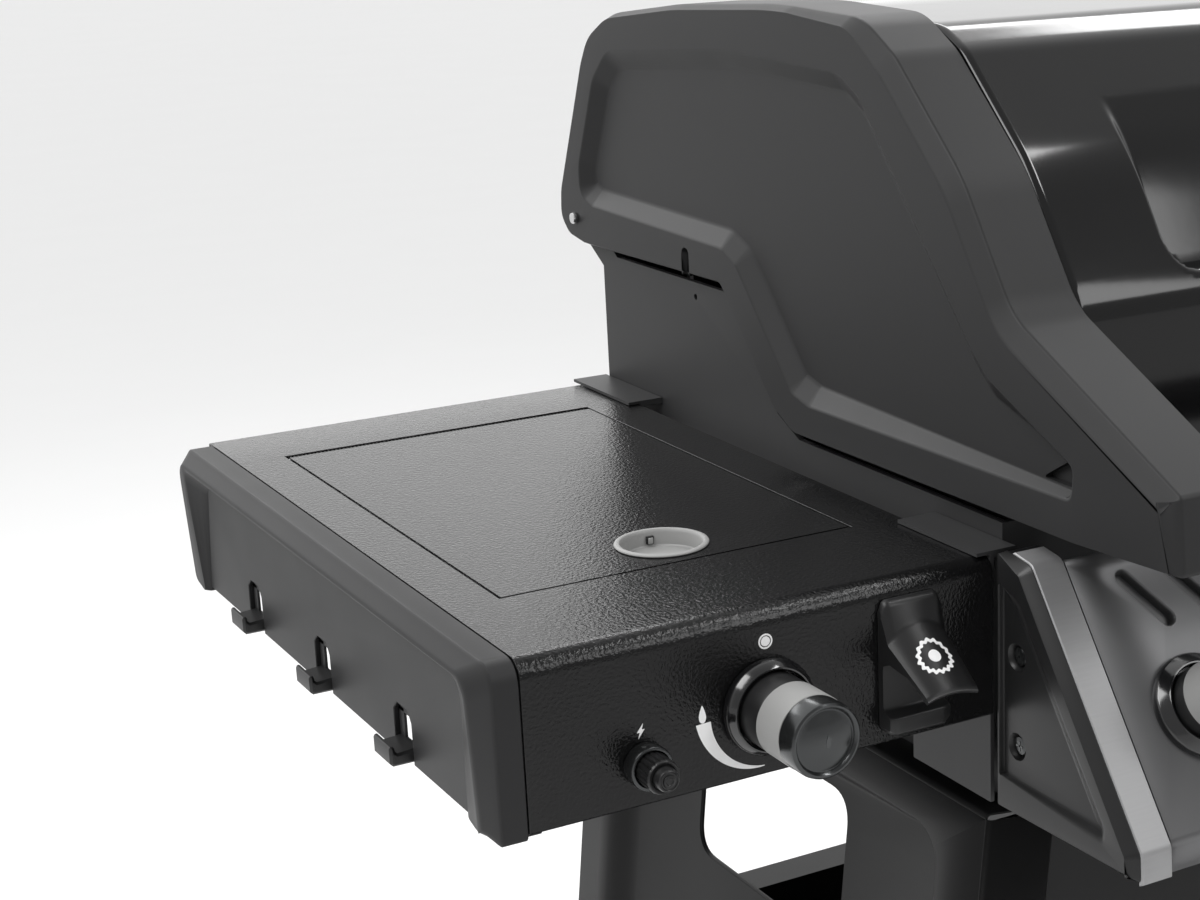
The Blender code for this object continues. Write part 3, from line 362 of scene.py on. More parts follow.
def on_front(x, z):
    """A point on the left shelf's front face."""
    return Vector((x, FRONT, z))


def lathe(shape, profile, place, steps=72):
    """A turned solid: (radius, height) points that start and end on the axis, or are closed by flat caps."""
    rings(shape, turned([(max(radius, ON_AXIS), height) for radius, height in profile], place, steps))


def lathe_ring(shape, profile, place, steps=72):
    """A turned ring: the profile is a closed loop off the axis."""
    rings(shape, turned(profile, place, steps), first_cap=False, last_cap=False, wrap=True)


def turned_piece(name, profile, place, look, target, steps=72, turn=lathe, make=piece):
    """A piece, or a trim, that is one turned solid or ring."""
    shape = bmesh.new()
    turn(shape, profile, place, steps)
    make(name, shape, look, target)


def arc(centre, radius, start, end, count):
    """Points on an arc about a 2D centre, from one angle to another."""
    return [(centre[0] + radius * math.cos(angle), centre[1] + radius * math.sin(angle))
            for angle in spread(start, end, count)]


def fillet(points, radius, steps=6, closed=True):
    """Rounds each corner of an outline by at most this radius. A third value on a point is its own radius."""
    made = []
    count = len(points)
    for i, point in enumerate(points):
        here = Vector(point[:2])
        reach = point[2] if len(point) > 2 else radius
        if not closed and i in (0, count - 1):
            made.append(here)
            continue
        before, after = Vector(points[i - 1][:2]), Vector(points[(i + 1) % count][:2])
        to_before, to_after = (before - here), (after - here)
        turn = math.pi - to_before.angle(to_after, math.pi)
        cut = reach * math.tan(turn / 2)
        cut = min(cut, to_before.length * 0.48, to_after.length * 0.48)
        start = here + to_before.normalized() * cut
        end = here + to_after.normalized() * cut
        for k in range(steps + 1):
            t = k / steps
            made.append(start * (1 - t) ** 2 + here * 2 * t * (1 - t) + end * t ** 2)
    return made


def inset(outline, widths):
    """A closed anticlockwise outline moved inwards, by one width or by one for each point."""
    moved = []
    count = len(outline)
    for i, here in enumerate(outline):
        width = widths if isinstance(widths, float) else widths[i]
        first = (here - outline[i - 1]).normalized()
        second = (outline[(i + 1) % count] - here).normalized()
        side = (Vector((-first.y, first.x)) + Vector((-second.y, second.x))).normalized()
        reach = width / max(side.dot(Vector((-first.y, first.x))), 0.6)
        moved.append(here + side * reach)
    return moved


def at_x(outline, x):
    """An outline in Y and Z, placed at X."""
    return [Vector((x, p.x, p.y)) for p in outline]


def step_up(t, low, high):
    """A smooth rise from 0 at low to 1 at high."""
    t = min(max((t - low) / (high - low), 0.0), 1.0)
    return t * t * (3 - 2 * t)


def spread(low, high, count):
    """Evenly spaced values from low to high, both included."""
    return [low + (high - low) * i / (count - 1) for i in range(count)]


def signed_area(outline):
    total = 0.0
    for i, here in enumerate(outline):
        following = outline[(i + 1) % len(outline)]
        total += here.x * following.y - following.x * here.y
    return total / 2


def ccw(outline):
    """The same outline, running anticlockwise."""
    return outline[::-1] if signed_area(outline) < 0 else outline


def fill_between(shape, *loops, normal=(1, 0, 0)):
    """A flat face inside the first loop of vertices and outside the others."""
    edges = []
    for row in loops:
        for i, vert in enumerate(row):
            following = row[(i + 1) % len(row)]
            edges.append(shape.edges.get((vert, following)) or shape.edges.new((vert, following)))
    bmesh.ops.triangle_fill(shape, use_beauty=True, use_dissolve=False, edges=edges, normal=normal)


def even_path(points, pitch):
    """The same path with points at an even pitch."""
    made = [points[0]]
    left = pitch
    for a, b in zip(points, points[1:]):
        run = (b - a).length
        at = left
        while at <= run:
            made.append(a.lerp(b, at / run))
            at += pitch
        left = at - run
    made.append(points[-1])
    return made


def turning_up(direction, centre):
    """A frame whose Z is the direction and whose Y points upwards."""
    out = Vector(direction).normalized()
    up = Vector((0, 0, 1)) - out * out.z
    up.normalize()
    side = up.cross(out)
    made = Matrix((side, up, out)).transposed().to_4x4()
    return Matrix.Translation(Vector(centre)) @ made


def extruded(shape, outline, low, high, axis, edge=0.0004):
    """A prism over a 2D outline, with small chamfers round both ends."""
    order = {
        "X": lambda p, h: Vector((h, p.x, p.y)),
        "Y": lambda p, h: Vector((p.x, h, p.y)),
        "Z": lambda p, h: Vector((p.x, p.y, h)),
    }[axis]
    line = [Vector(p[:2]) for p in outline]
    line = ccw(line)
    small = inset(line, edge)
    levels = [(small, low), (line, low + edge), (line, high - edge), (small, high)]
    return rings(shape, [[order(p, h) for p in points] for points, h in levels])


def soft_box(shape, low, high, width=0.0005, segments=2):
    made = add_box(shape, low, high)
    edges = list({edge for vert in made for edge in vert.link_edges})
    bmesh.ops.bevel(shape, geom=edges, offset=width, segments=segments, profile=0.5, affect="EDGES")


# ---------------------------------------------------------------- lid

LID_OUTLINE = mm([
    (110, 989, 6), (154.5, 988.5, 1), (154.5, 1005.2, 1.5), (157.6, 1005.2, 1.5), (157.6, 988.5, 1),
    (315, 987, 10), (341, 991, 20), (356, 1004, 20), (353.5, 1026, 30), (308, 1122, 50),
    (294.5, 1142, 50), (262, 1158, 60), (162, 1169, 400), (33, 1175.6, 500), (-62, 1172.5, 50),
    (-96, 1153, 50), (-163, 1091, 120), (-210, 1021.5, 50), (-352, 953, 4), (-356, 911, 3),
    (-274, 907, 30), (19, 906, 20), (44, 918, 20),
])
LID_RECESS = mm([
    (262, 1131, 30), (286, 1110, 30), (316.5, 1046, 30), (316.5, 1026, 16), (298, 1020, 12),
    (105, 1016, 12), (86, 1008, 10), (19, 936, 12), (-2, 931, 20), (-270.6, 933.5, 6), (-272, 951, 6),
    (-195, 984, 12), (-180, 997, 12), (-68, 1126, 30), (-45, 1138.5, 30), (90, 1143.5, 500),
])
LID_SLOT = mm([(-266.5, 936.8), (-235, 936.8), (-264, 954), (-267.5, 953)])


def lid_chamfer(point):
    """How far the end cap's side face stands back from its outline: wide along the front slope."""
    along_front = step_up(-point.x, 0.02, 0.10) * step_up(point.y, 0.925, 0.960)
    return 0.0035 + 0.0085 * along_front


def lid_end(target, side):
    """A cast end cap: side face with a sunk, bevelled panel, a wide chamfer and a deep front band."""
    outline = ccw(fillet(LID_OUTLINE, 0.02)[::-1])
    recess = ccw(fillet(LID_RECESS, 0.012))
    inner = LID_HALF - LID_BAND
    wall = LID_HALF - 0.0075
    widths = [lid_chamfer(p) for p in outline]
    shape = bmesh.new()
    outer_levels = [
        (inner, 0.0035), (inner, 0.0012), (inner + 0.0012, 0.0),
        (wall - 0.0012, 0.0), (wall, 0.0004),
    ]
    levels = [at_x(inset(outline, width), x) for x, width in outer_levels]
    for share, drop in ((0.10, 0.0007), (0.50, 0.0037), (0.88, 0.0066), (0.96, 0.0073), (1.06, 0.0075)):
        levels.append(at_x(inset(outline, [w * share for w in widths]), wall + drop))
    rim = tube(shape, levels)[-1]
    recess_levels = [
        (LID_HALF, -0.0022), (LID_HALF - 0.0003, -0.0010), (LID_HALF - 0.0011, 0.0),
        (LID_HALF - 0.0078, 0.0095), (LID_HALF - 0.0086, 0.0108), (LID_HALF - 0.0089, 0.0125),
    ]
    lean = [1 - 0.86 * step_up(-p.x, 0.222, 0.240) * step_up(-p.y, -0.966, -0.950) for p in recess]
    walls = [at_x(inset(recess, [width * max(k, 0.14) if width > 0 else width for k in lean]), x)
             for x, width in recess_levels]
    panel = tube(shape, walls)
    slot = ccw(fillet(LID_SLOT, 0.0015))
    pocket = rings(shape, [at_x(slot, LID_HALF - 0.0089), at_x(slot, wall - 0.0060)], first_cap=False)
    fill_between(shape, rim, panel[0])
    fill_between(shape, panel[-1], pocket[0])
    rings(shape, [at_x(inset(outline, 0.0035), inner), at_x(inset(outline, 0.0055), inner + 0.004),
                  at_x(inset(outline, 0.0060), wall - 0.008)], first_cap=False)
    mirrored(shape, side)
    even_normals(piece(f"{target}_cast", shape, SATIN, target))


HOOD_LINE = mm([
    (-214, 910.5), (-207.5, 1020, 50), (-163, 1090, 200), (-96, 1154, 30), (-70, 1166, 40),
    (33, 1172.5, 400), (162, 1165.5, 300), (258, 1155, 60), (291, 1138, 50), (305, 1119, 50),
    (350, 1024, 30), (351, 1006),
])


def recess_depth(x, z):
    """How far the hood's front is pressed in: flush at the top, deepest at its lower edge."""
    half, low, high, corner = 0.203, 1.029, 1.123, 0.022
    across = abs(x) - (half - corner)
    down = (low + corner) - z
    out = math.hypot(max(across, 0), max(down, 0)) + min(max(across, down), 0) - corner
    wall = step_up(-out, 0.0, 0.0075)
    slope = max(0.0, min(1.0, (high - z) / (high - low)))
    return wall * 0.0205 * slope


def hood():
    """The enamelled hood: a rolled sheet with a pressed recess on its front."""
    line = even_path(fillet(HOOD_LINE, 0.05, 8, closed=False), 0.0032)
    xs = spread(-HOOD_HALF, -0.208, 12) + spread(-0.2065, -0.170, 26)[:-1] + spread(-0.170, 0.0, 14)
    xs = xs + [-x for x in xs[-2::-1]]
    shape = bmesh.new()
    rows = []
    for place in line:
        row = []
        for x in xs:
            depth = recess_depth(x, place.y) if place.x < 0 else 0.0
            row.append(Vector((x, place.x + depth * 0.94, place.y - depth * 0.34)))
        rows.append(row)
    open_sheet(shape, rows)
    thicken(piece("lid_hood_enamel", shape, ENAMEL, "lid_hood", angle=60), 0.0018)


def lid_handle():
    """A round bar with a collar at each end, where it meets the cast arms."""
    place = turning((1, 0, 0), HANDLE)
    half = HOOD_HALF - 0.0006
    radius = 0.0145
    profile = [
        (0, half), (0.0132, half), (radius, half - 0.0012), (radius, half - 0.020),
        (radius - 0.0012, half - 0.0212), (radius - 0.0012, half - 0.0235), (radius, half - 0.0247),
    ]
    profile += [(r, -h) for r, h in profile[::-1]]
    turned_piece("lid_handle_bar", profile[::-1], place, SATIN, "lid_handle", 48)


def hinge_pins():
    for side, name in ((-1, "hinge_pin_left"), (1, "hinge_pin_right")):
        place = turning((side, 0, 0), (side * (LID_HALF - 0.0005), *HINGE))
        profile = mm([
            (0, -14), (2.8, -14), (2.8, 1), (4, 1), (4.2, 1.6), (4.2, 3.4), (3.8, 4.2), (0, 4.5),
        ])
        turned_piece(f"{name}_bright", profile, place, BRIGHT, name, 32)


def thermometer():
    """Bezel, dial with a scale and a needle."""
    place = turning(DIAL_OUT, DIAL + DIAL_OUT * 0.0005)
    bezel = mm([
        (0, -34), (3.8, -33.8), (4, 0), (33.5, 0), (34.8, 1.2), (35, 8.5), (33.8, 11.2), (32, 11.9),
        (30.8, 11.2), (29.6, 8), (29.2, 7.2), (0, 7),
    ])
    turned_piece("thermometer_bezel", bezel, place, BRIGHT, "thermometer_case")
    dial = mm([(0, 7.2), (28.8, 7.2), (28.8, 7.6), (0, 7.6)])
    turned_piece("thermometer_dial", dial, place, DIAL_FACE, "thermometer_case", make=trim)
    marks = bmesh.new()
    for i in range(28):
        start, half = (0.0230, 0.0002) if i % 3 else (0.0205, 0.00045)
        made = add_box(marks, (start, -half, 0.00762), (0.0262, half, 0.00778))
        spin = Matrix.Rotation(math.radians(225 - 10 * i), 4, "Z")
        bmesh.ops.transform(marks, matrix=place @ spin, verts=made)
    trim("thermometer_scale", marks, BLACK_PLASTIC, "thermometer_case")
    needle = NODES["thermometer_needle"].data
    needle.materials.clear()
    needle.materials.append(RED_PRINT)


# ---------------------------------------------------------------- knobs


def knob(target, centre, direction, bezel, top, ring_radius):
    """A round control knob: black sleeve, grey grip, dark ring and domed face, over a sloping base ring."""
    place = turning(direction, centre)
    grip_low, grip_high = top - 0.0375, top - 0.0148
    sleeve = [(0, -0.0100), (0.0034, -0.0100), (0.0034, 0.0020), (0.0200, 0.0020), (0.0205, 0.0026),
              (0.0205, grip_low - 0.0012), (0.0201, grip_low - 0.0003), (0, grip_low - 0.0003)]
    turned_piece(f"{target}_sleeve", sleeve, place, BLACK_PLASTIC, target)
    grip = [(0, grip_low), (0.0204, grip_low), (0.0208, grip_low + 0.0005), (0.0209, grip_high - 0.0006),
            (0.0205, grip_high), (0, grip_high)]
    turned_piece(f"{target}_grip", grip, place, GREY_GRIP, target, make=trim)
    base = grip_high + 0.0001
    rim = [
        (0, base), (0.0201, base), (0.0206, base + 0.0006), (0.0206, top - 0.0036), (0.0202, top - 0.0020),
        (0.0192, top - 0.0011), (0.0182, top - 0.0011), (0.0174, top - 0.0019), (0.0168, top - 0.0030),
        (0.0163, top - 0.0030),
    ]
    dome = [(r, top - 0.0030 + 0.0032 * (1 - (r / 0.0160) ** 2)) for r in spread(0.0158, 0.0, 9)]
    turned_piece(f"{target}_face", rim + dome, place, DARK_CHROME, target, make=trim)
    mark = bmesh.new()
    flame(mark, place, top + 0.0001, 0.0030)
    trim(f"{target}_mark", mark, DARK_CHROME, target)
    r = ring_radius
    loop = [
        (0.0216, 0.0010), (0.0216, 0.0078), (0.0219, 0.0092), (0.0226, 0.0099), (0.0234, 0.0099),
        (0.0240, 0.0093),
        (r - 0.0012, 0.0068), (r - 0.0004, 0.0056), (r, 0.0040), (r - 0.0002, 0.0020), (r - 0.0006, 0.0006),
        (r - 0.0016, 0.0005),
    ]
    turned_piece(f"{bezel}_ring", loop, place, GLOSS, bezel, 80, lathe_ring)


def flame(shape, place, lift, size, thick=0.0002):
    """A small teardrop flame, standing up on a face."""
    points = []
    for t in circle(24):
        sharp = (0.5 + 0.5 * math.cos(t)) ** 2
        across = size * 0.55 * math.sin(t) * (1 - sharp * 0.75)
        points.append(Vector((across, size * (math.cos(t) + 0.25 * sharp))))
    levels = [[place @ Vector((p.x, p.y, lift + h)) for p in points] for h in (0, thick)]
    rings(shape, levels)


# ---------------------------------------------------------------- shelves

CAP_OUTER = 0.6487
CAP_PLATE = 0.640
CAP_BOTTOM = 0.7938
PANEL_BOTTOM = 0.7968
HOOKS = (-0.0868, 0.0421, 0.1681)
HOOK_HALF = 0.0132
LID_MOUTH = (-0.5939, -0.1232, -0.3738, 0.2282)


def cap_frame(x, rim_y, rim_z, sunk, lean=0.0):
    """The cap's frame from its side, as one outline: two posts and a top rail round the sunk plate.

    rim_y and rim_z take the outer edges inwards, sunk is 1 at the plate and 0 at the frame's face, and
    lean is how fast the face slopes outwards from the bottom to the top.
    """
    low, high = CAP_BOTTOM, SHELF_TOP
    rail = 0.8790 - 0.0080 * sunk
    corners = [
        (FRONT + rim_y, low + rim_z * 0.5, 0.003), (FRONT + rim_y, high - rim_z, 0.014),
        (BACK - rim_y * 0.3, high - rim_z, 0.014), (BACK - rim_y * 0.3, low + rim_z * 0.5, 0.006),
        (0.2700 - 0.0020 * sunk, low + 0.0003, 0.003), (0.2790 - 0.0275 * sunk, rail, 0.008),
        (-0.1990 + 0.0230 * sunk, rail, 0.014), (-0.1960 + 0.0225 * sunk, low + 0.0003, 0.003),
    ]
    points = fillet(corners, 0.003, 7)
    return [Vector((x - lean * (high - p.y), p.x, p.y)) for p in points]


def shelf_cap(target, side):
    """A moulded shelf end: chamfered frame, sunk plate, and three hooks in their slots."""
    seam = -SEAM + 0.0004
    shape = bmesh.new()
    levels = [cap_frame(seam - 0.0080, 0.0022, 0.0020, 1), cap_frame(seam + 0.0002, 0.0022, 0.0020, 1)]
    levels += [cap_frame(seam + 0.0002, 0.0006, 0.0006, 1), cap_frame(seam + 0.0008, 0.0, 0.0, 1)]
    for back, rim_y, rim_z, sunk, lean in (
        (0.0094, 0.0, 0.0, 1.0, 0.0), (0.0087, 0.0006, 0.0004, 1.0, 0.002),
        (0.0078, 0.0024, 0.0014, 0.94, 0.006),
        (0.0058, 0.0062, 0.0034, 0.70, 0.018), (0.0034, 0.0108, 0.0056, 0.42, 0.033),
        (0.0012, 0.0148, 0.0076, 0.15, 0.046), (0.0004, 0.0164, 0.0083, 0.06, 0.050),
        (0.0, 0.0180, 0.0090, 0.0, 0.052),
    ):
        levels.append(cap_frame(CAP_OUTER - back, rim_y, rim_z, sunk, lean))
    rings(shape, levels)
    slots = [(FRONT + 0.006, 0.8840), (FRONT + 0.006, 0.7972)]
    half = HOOK_HALF
    for y in HOOKS:
        slots += [(y - half, 0.7972), (y - half + 0.0002, 0.8215), (y - half + 0.0045, 0.8275),
                  (y + half - 0.0060, 0.8275), (y + half - 0.0008, 0.8225), (y + half, 0.7972)]
    slots += [(BACK - 0.006, 0.7972), (BACK - 0.006, 0.8840)]
    extruded(shape, slots, CAP_PLATE - 0.0032, CAP_PLATE, "X", 0.0005)
    for y in HOOKS:
        back, web = CAP_PLATE - 0.0046, CAP_PLATE - 0.0030
        soft_box(shape, (back, y - half - 0.002, 0.8215), (web, y + half + 0.002, 0.8330), 0.0002)
        soft_box(shape, (back, y + 0.0050, 0.7985), (web, y + half + 0.002, 0.8240), 0.0002)
        soft_box(shape, (back, y - half - 0.002, 0.7985), (web, y + 0.0060, 0.8068), 0.0002)
    mirrored(shape, side)
    piece(f"{target}_moulding", shape, PLASTIC, target)
    hooks = bmesh.new()
    for y in HOOKS:
        line = [
            (CAP_PLATE - 0.0044, 0.7988), (0.6512, 0.7988), (0.6530, 0.8006), (0.6530, 0.8090),
            (0.6522, 0.8103), (0.6508, 0.8103), (0.6500, 0.8092), (0.6498, 0.8072), (0.6484, 0.8060),
            (CAP_PLATE - 0.0044, 0.8070),
        ]
        extruded(hooks, line, y - half + 0.0003, y + half - 0.0003, "Y", 0.0014)
    mirrored(hooks, side)
    trim(f"{target}_hooks", hooks, BLACK_PLASTIC, target)


def shelf_line():
    """The sheet's outside line: front panel, rounded edge, flat top and rear flange."""
    radius, back_radius = 0.0110, 0.0035
    low = PANEL_BOTTOM
    line = [(FRONT + 0.0035, low), (FRONT + 0.0008, low + 0.0004), (FRONT, low + 0.0014)]
    line += arc((FRONT + radius, SHELF_TOP - radius), radius, math.pi, math.pi / 2, 13)
    line += [(LID_MOUTH[1], SHELF_TOP), (LID_MOUTH[3], SHELF_TOP)]
    line += arc((BACK - back_radius, SHELF_TOP - back_radius), back_radius, math.pi / 2, 0, 6)
    return line + [(BACK, SHELF_TOP - 0.045)]


def shelf_top(target, low, high, mouth):
    """A folded sheet with an optional mouth for the side burner's lid."""
    xs = [low, high] if not mouth else [low, LID_MOUTH[0], LID_MOUTH[2], high]
    line = shelf_line()
    shape = bmesh.new()
    grid = [[shape.verts.new((x, y, z)) for x in xs] for y, z in line]
    for i, (above, below) in enumerate(zip(grid, grid[1:])):
        in_mouth = mouth and line[i] == (LID_MOUTH[1], SHELF_TOP)
        for k in range(len(xs) - 1):
            if not (in_mouth and k == 1):
                shape.faces.new((above[k], above[k + 1], below[k + 1], below[k]))
    item = piece(f"{target}_sheet", shape, TEXTURED, target, angle=25)
    if item.data.polygons[0].normal.y > 0 or item.data.polygons[-1].normal.y < 0:
        item.data.flip_normals()
    thicken(item, 0.0015).use_even_offset = True
    soften(item, 0.0004, 2, 50)


def burner_lid_pull():
    """A pale ring and cup, with a raised floor in front, a clip on its rear wall and a small drain."""

    def small_box(made, low, high, width):
        soft_box(made, PULL + Vector(low), PULL + Vector(high), width)

    shape = bmesh.new()
    lathe(shape, mm([
        (0, -9.8), (24.4, -9.8), (24.6, -9.4), (24.6, 0.2), (27, 0.3), (27.2, 0.8), (26.9, 1.4),
        (26, 1.8), (24.9, 1.9), (24.1, 1.6), (23.6, 0.9), (23.3, -0.2), (22.9, -7.4), (22.2, -8.3),
        (0, -8.5),
    ]), Matrix.Translation(PULL), 96)
    floor = arc(PULL, 0.0230, math.radians(200), math.radians(338), 24)
    extruded(shape, floor, SHELF_TOP - 0.0086, SHELF_TOP - 0.0050, "Z", 0.0006)
    small_box(shape, (0.0022, 0.0205, -0.0062), (0.0052, 0.0224, -0.0026), 0.0004)
    piece("burner_lid_pull_ring", shape, PALE_PLASTIC, "burner_lid_pull")
    # Painted shade: black boxes stand for the dark gap round the clip and the drain hole, which the cup's
    # mesh has no openings for
    dark = bmesh.new()
    small_box(dark, (0.0014, 0.0213, -0.0066), (0.0060, 0.0230, -0.0018), 0.0003)
    small_box(dark, (-0.0232, 0.0004, -0.0042), (-0.0218, 0.0028, -0.0026), 0.0003)
    trim("burner_lid_pull_painted_shade", dark, BLACK_PLASTIC, "burner_lid_pull")


def lid_vents():
    """A fine row of teeth in the gap behind the side burner's lid."""
    shape = bmesh.new()
    x = LID_MOUTH[0] + 0.003
    while x < LID_MOUTH[2] - 0.003:
        add_box(shape, (x, 0.2238, SHELF_TOP - 0.0040), (x + 0.0009, 0.2279, SHELF_TOP - 0.0007))
        x += 0.0026
    trim("burner_gap_teeth", shape, CART_PAINT, "shelf_left_top")


# ---------------------------------------------------------------- front fittings


def igniter():
    """A fluted push button with a stepped cap, in a plain collar."""
    place = turning((0, -1, 0), on_front(*IGNITER))
    collar = mm([
        (9.9, 0.6), (12, 0.6), (12.2, 1), (12.2, 8.4), (11.8, 9.3), (11.2, 9.6), (10.3, 9.6), (9.9, 9),
    ])
    turned_piece("igniter_collar_ring", collar, place, DARK_CHROME, "igniter_collar", turn=lathe_ring)
    body = bmesh.new()
    steps, flutes = 144, 18
    profile = [
        (0, -0.0080, 0), (0.0066, -0.0078, 0), (0.0066, 0.0046, 0), (0.0090, 0.0046, 0),
        (0.0092, 0.0052, 1), (0.0093, 0.0196, 1), (0.0094, 0.0206, 0.6), (0.0092, 0.0219, 0),
        (0.0086, 0.0226, 0), (0.0076, 0.0226, 0), (0.0066, 0.0218, 0), (0.0063, 0.0224, 0),
        (0.0062, 0.0266, 0), (0.0058, 0.0277, 0), (0.0050, 0.0281, 0), (0.0045, 0.0276, 0),
        (0.0036, 0.0276, 0), (0.0033, 0.0283, 0), (0.0022, 0.0286, 0), (0.0017, 0.0280, 0),
        (0, 0.0280, 0),
    ]
    levels = []
    for radius, height, fluted in profile:
        row = []
        for angle in circle(steps):
            dip = 0.0007 * max(0.0, math.cos(flutes * angle)) ** 2 * fluted
            reach = max(radius - dip, ON_AXIS)
            row.append(place @ Vector((reach * math.cos(angle), reach * math.sin(angle), height)))
        levels.append(row)
    rings(body, levels)
    piece("igniter_button_body", body, BLACK_PLASTIC, "igniter_button", angle=40)


def prints():
    """White marks on the front panel: a bolt, an off dot, a flame and a tapering arc."""
    y = FRONT - 0.00025
    thick = 0.0003

    def mark(name, shape):
        trim(name, shape, WHITE_PRINT, "shelf_left_top")

    bolt = bmesh.new()
    line = [(0.0014, 0.0039), (-0.0022, -0.0006), (-0.0006, -0.0006), (-0.0015, -0.0039), (0.0022, 0.0008),
            (0.0006, 0.0008)]
    extruded(bolt, [(-0.5607 + x, 0.8385 + z) for x, z in line], y, y + thick, "Y", 0.00002)
    mark("print_bolt", bolt)
    dot = bmesh.new()
    place = turning((0, -1, 0), on_front(-0.4862, 0.8715))
    lathe(dot, [(0, -0.0001), (0.0027, -0.0001), (0.0027, 0.0002), (0, 0.0002)], place, 40)
    lathe_ring(dot, [(0.0033, -0.0001), (0.0042, -0.0001), (0.0042, 0.0002), (0.0033, 0.0002)], place, 48)
    mark("print_off", dot)
    sweep = bmesh.new()
    centre = Vector(SIDE_KNOB)
    outer, inner = [], []
    for share in spread(0, 1, 40):
        angle = math.radians(183 + 83 * share)
        width = 0.0083 * (1 - share) + 0.0004
        direction = Vector((math.cos(angle), math.sin(angle)))
        outer.append(centre + direction * (0.0335 + width))
        inner.append(centre + direction * 0.0335)
    extruded(sweep, outer + inner[::-1], y, y + thick, "Y", 0.00002)
    mark("print_arc", sweep)
    fire = bmesh.new()
    flame(fire, turning_up((0, -1, 0), on_front(-0.5250, 0.8388)), 0.0, 0.0044, 0.0002)
    mark("print_flame", fire)


# Half the width of the opener's base, arched crease and lip
OPENER_BASE, OPENER_CREASE, OPENER_LIP = 0.0195, 0.0188, 0.0160


def opener_folds(rise):
    """Y and Z of the opener's crease and of its lip. rise goes from 0 at the sides to 1 in the middle."""
    return (-0.2268, 0.8580 + 0.0095 * rise), (-0.2607 + 0.0010 * rise, 0.8349 + 0.0023 * rise)


def opener_face(x, share):
    """A point on the opener's hood: share runs from the arched crease (0) down to the lip (1)."""
    half = OPENER_CREASE + (OPENER_LIP - OPENER_CREASE) * share
    crease, lip = opener_folds(1 - ((x - OPENER_MIDDLE) / half) ** 2)
    return Vector((x, *crease)).lerp(Vector((x, *lip)), share)


def opener_section(u):
    """The opener's outline at a share of its half width: (half width, y, z) all the way round."""
    edge = step_up(abs(u), 0.80, 1.0)
    shrink, drop = 0.0012 * edge, 0.0060 * edge ** 2
    base, crease_half, lip_half = OPENER_BASE, OPENER_CREASE, OPENER_LIP
    (crease_y, crease_z), (lip_y, lip_z) = opener_folds(1 - u * u)
    crease_y += shrink
    return [
        (base, FRONT - 0.0004, 0.8800 - drop), (base, -0.2198 + shrink, 0.8797 - drop),
        (base, -0.2216 + shrink, 0.8784 - drop), (base, -0.2226 + shrink, 0.8764 - drop),
        (crease_half, crease_y + 0.0004, crease_z + 0.0016), (crease_half, crease_y, crease_z + 0.0003),
        (crease_half, crease_y - 0.0008, crease_z - 0.0008),
        (crease_half - 0.0001, crease_y - 0.0017, crease_z - 0.0018),
        (lip_half + 0.0002, lip_y + 0.0018, lip_z + 0.0020), (lip_half, lip_y, lip_z),
        (lip_half, lip_y - 0.0002, lip_z - 0.0009), (lip_half, lip_y + 0.0012, lip_z - 0.0022),
        (lip_half + 0.0010, -0.2440, 0.8425), (base, -0.2290, 0.8465), (base, -0.2228, 0.8440),
        (base, -0.2222, 0.8400), (base, -0.2222, 0.8200), (base, -0.2245, 0.8172),
        (base, -0.2290 + shrink, 0.8160), (base, -0.2302 + shrink, 0.8145),
        (base, -0.2302 + shrink, 0.8070 + 0.002 * edge), (base, -0.2290 + shrink, 0.8052 + 0.003 * edge),
        (base, -0.2250, 0.8042 + 0.004 * edge ** 2), (base, FRONT - 0.0004, 0.8038 + 0.004 * edge ** 2),
    ]


def bottle_opener():
    """A hooded opener: rounded base, arched crease, thin sloping lip and a catch below."""
    levels = []
    for u in [-1.0, -0.97, -0.90, -0.80] + spread(-0.7, 0.7, 15) + [0.80, 0.90, 0.97, 1.0]:
        levels.append([Vector((OPENER_MIDDLE + u * half, y, z)) for half, y, z in opener_section(u)])
    shape = bmesh.new()
    rings(shape, levels)
    even_normals(piece("bottle_opener_hood", shape, BLACK_PLASTIC, "bottle_opener", angle=50))
    mark = bmesh.new()
    out = Vector((0, -0.731, 0.683))
    slope = 0.0436

    def on_face(radius, angle, height):
        place = opener_face(OPENER_MIDDLE + radius * math.cos(angle), 0.50 - radius * math.sin(angle) / slope)
        return place + out * height

    lift, sunk = 0.0004, -0.0001
    ring = [[on_face((0.0104 + 0.0007 * math.cos(16 * angle)) * share, angle, height) for angle in circle(96)]
            for share, height in ((1.0, sunk), (1.0, lift), (0.90, lift), (0.80, lift), (0.80, sunk))]
    rings(mark, ring, first_cap=False, last_cap=False, wrap=True)
    rings(mark, [[on_face(radius, angle, height) for angle in circle(24)]
                 for radius, height in ((0.0036, sunk), (0.0036, lift), (0.0018, lift))])
    trim("bottle_opener_mark", mark, WHITE_PRINT, "bottle_opener")


# ---------------------------------------------------------------- control panel

END_OUTLINE = mm([
    (-219, 893.5, 2), (-242, 890.5, 10), (-339, 756, 10), (-340, 739, 4), (-219, 742.5, 2),
])
END_RECESS = mm([(-220.5, 876, 2), (-239, 871, 14), (-318, 764, 10), (-317, 754, 8), (-220.5, 762, 2)])
BAND_OUTLINE = mm([(-226, 893.3), (-242.4, 890.8), (-339.3, 756.2), (-340.3, 739)])


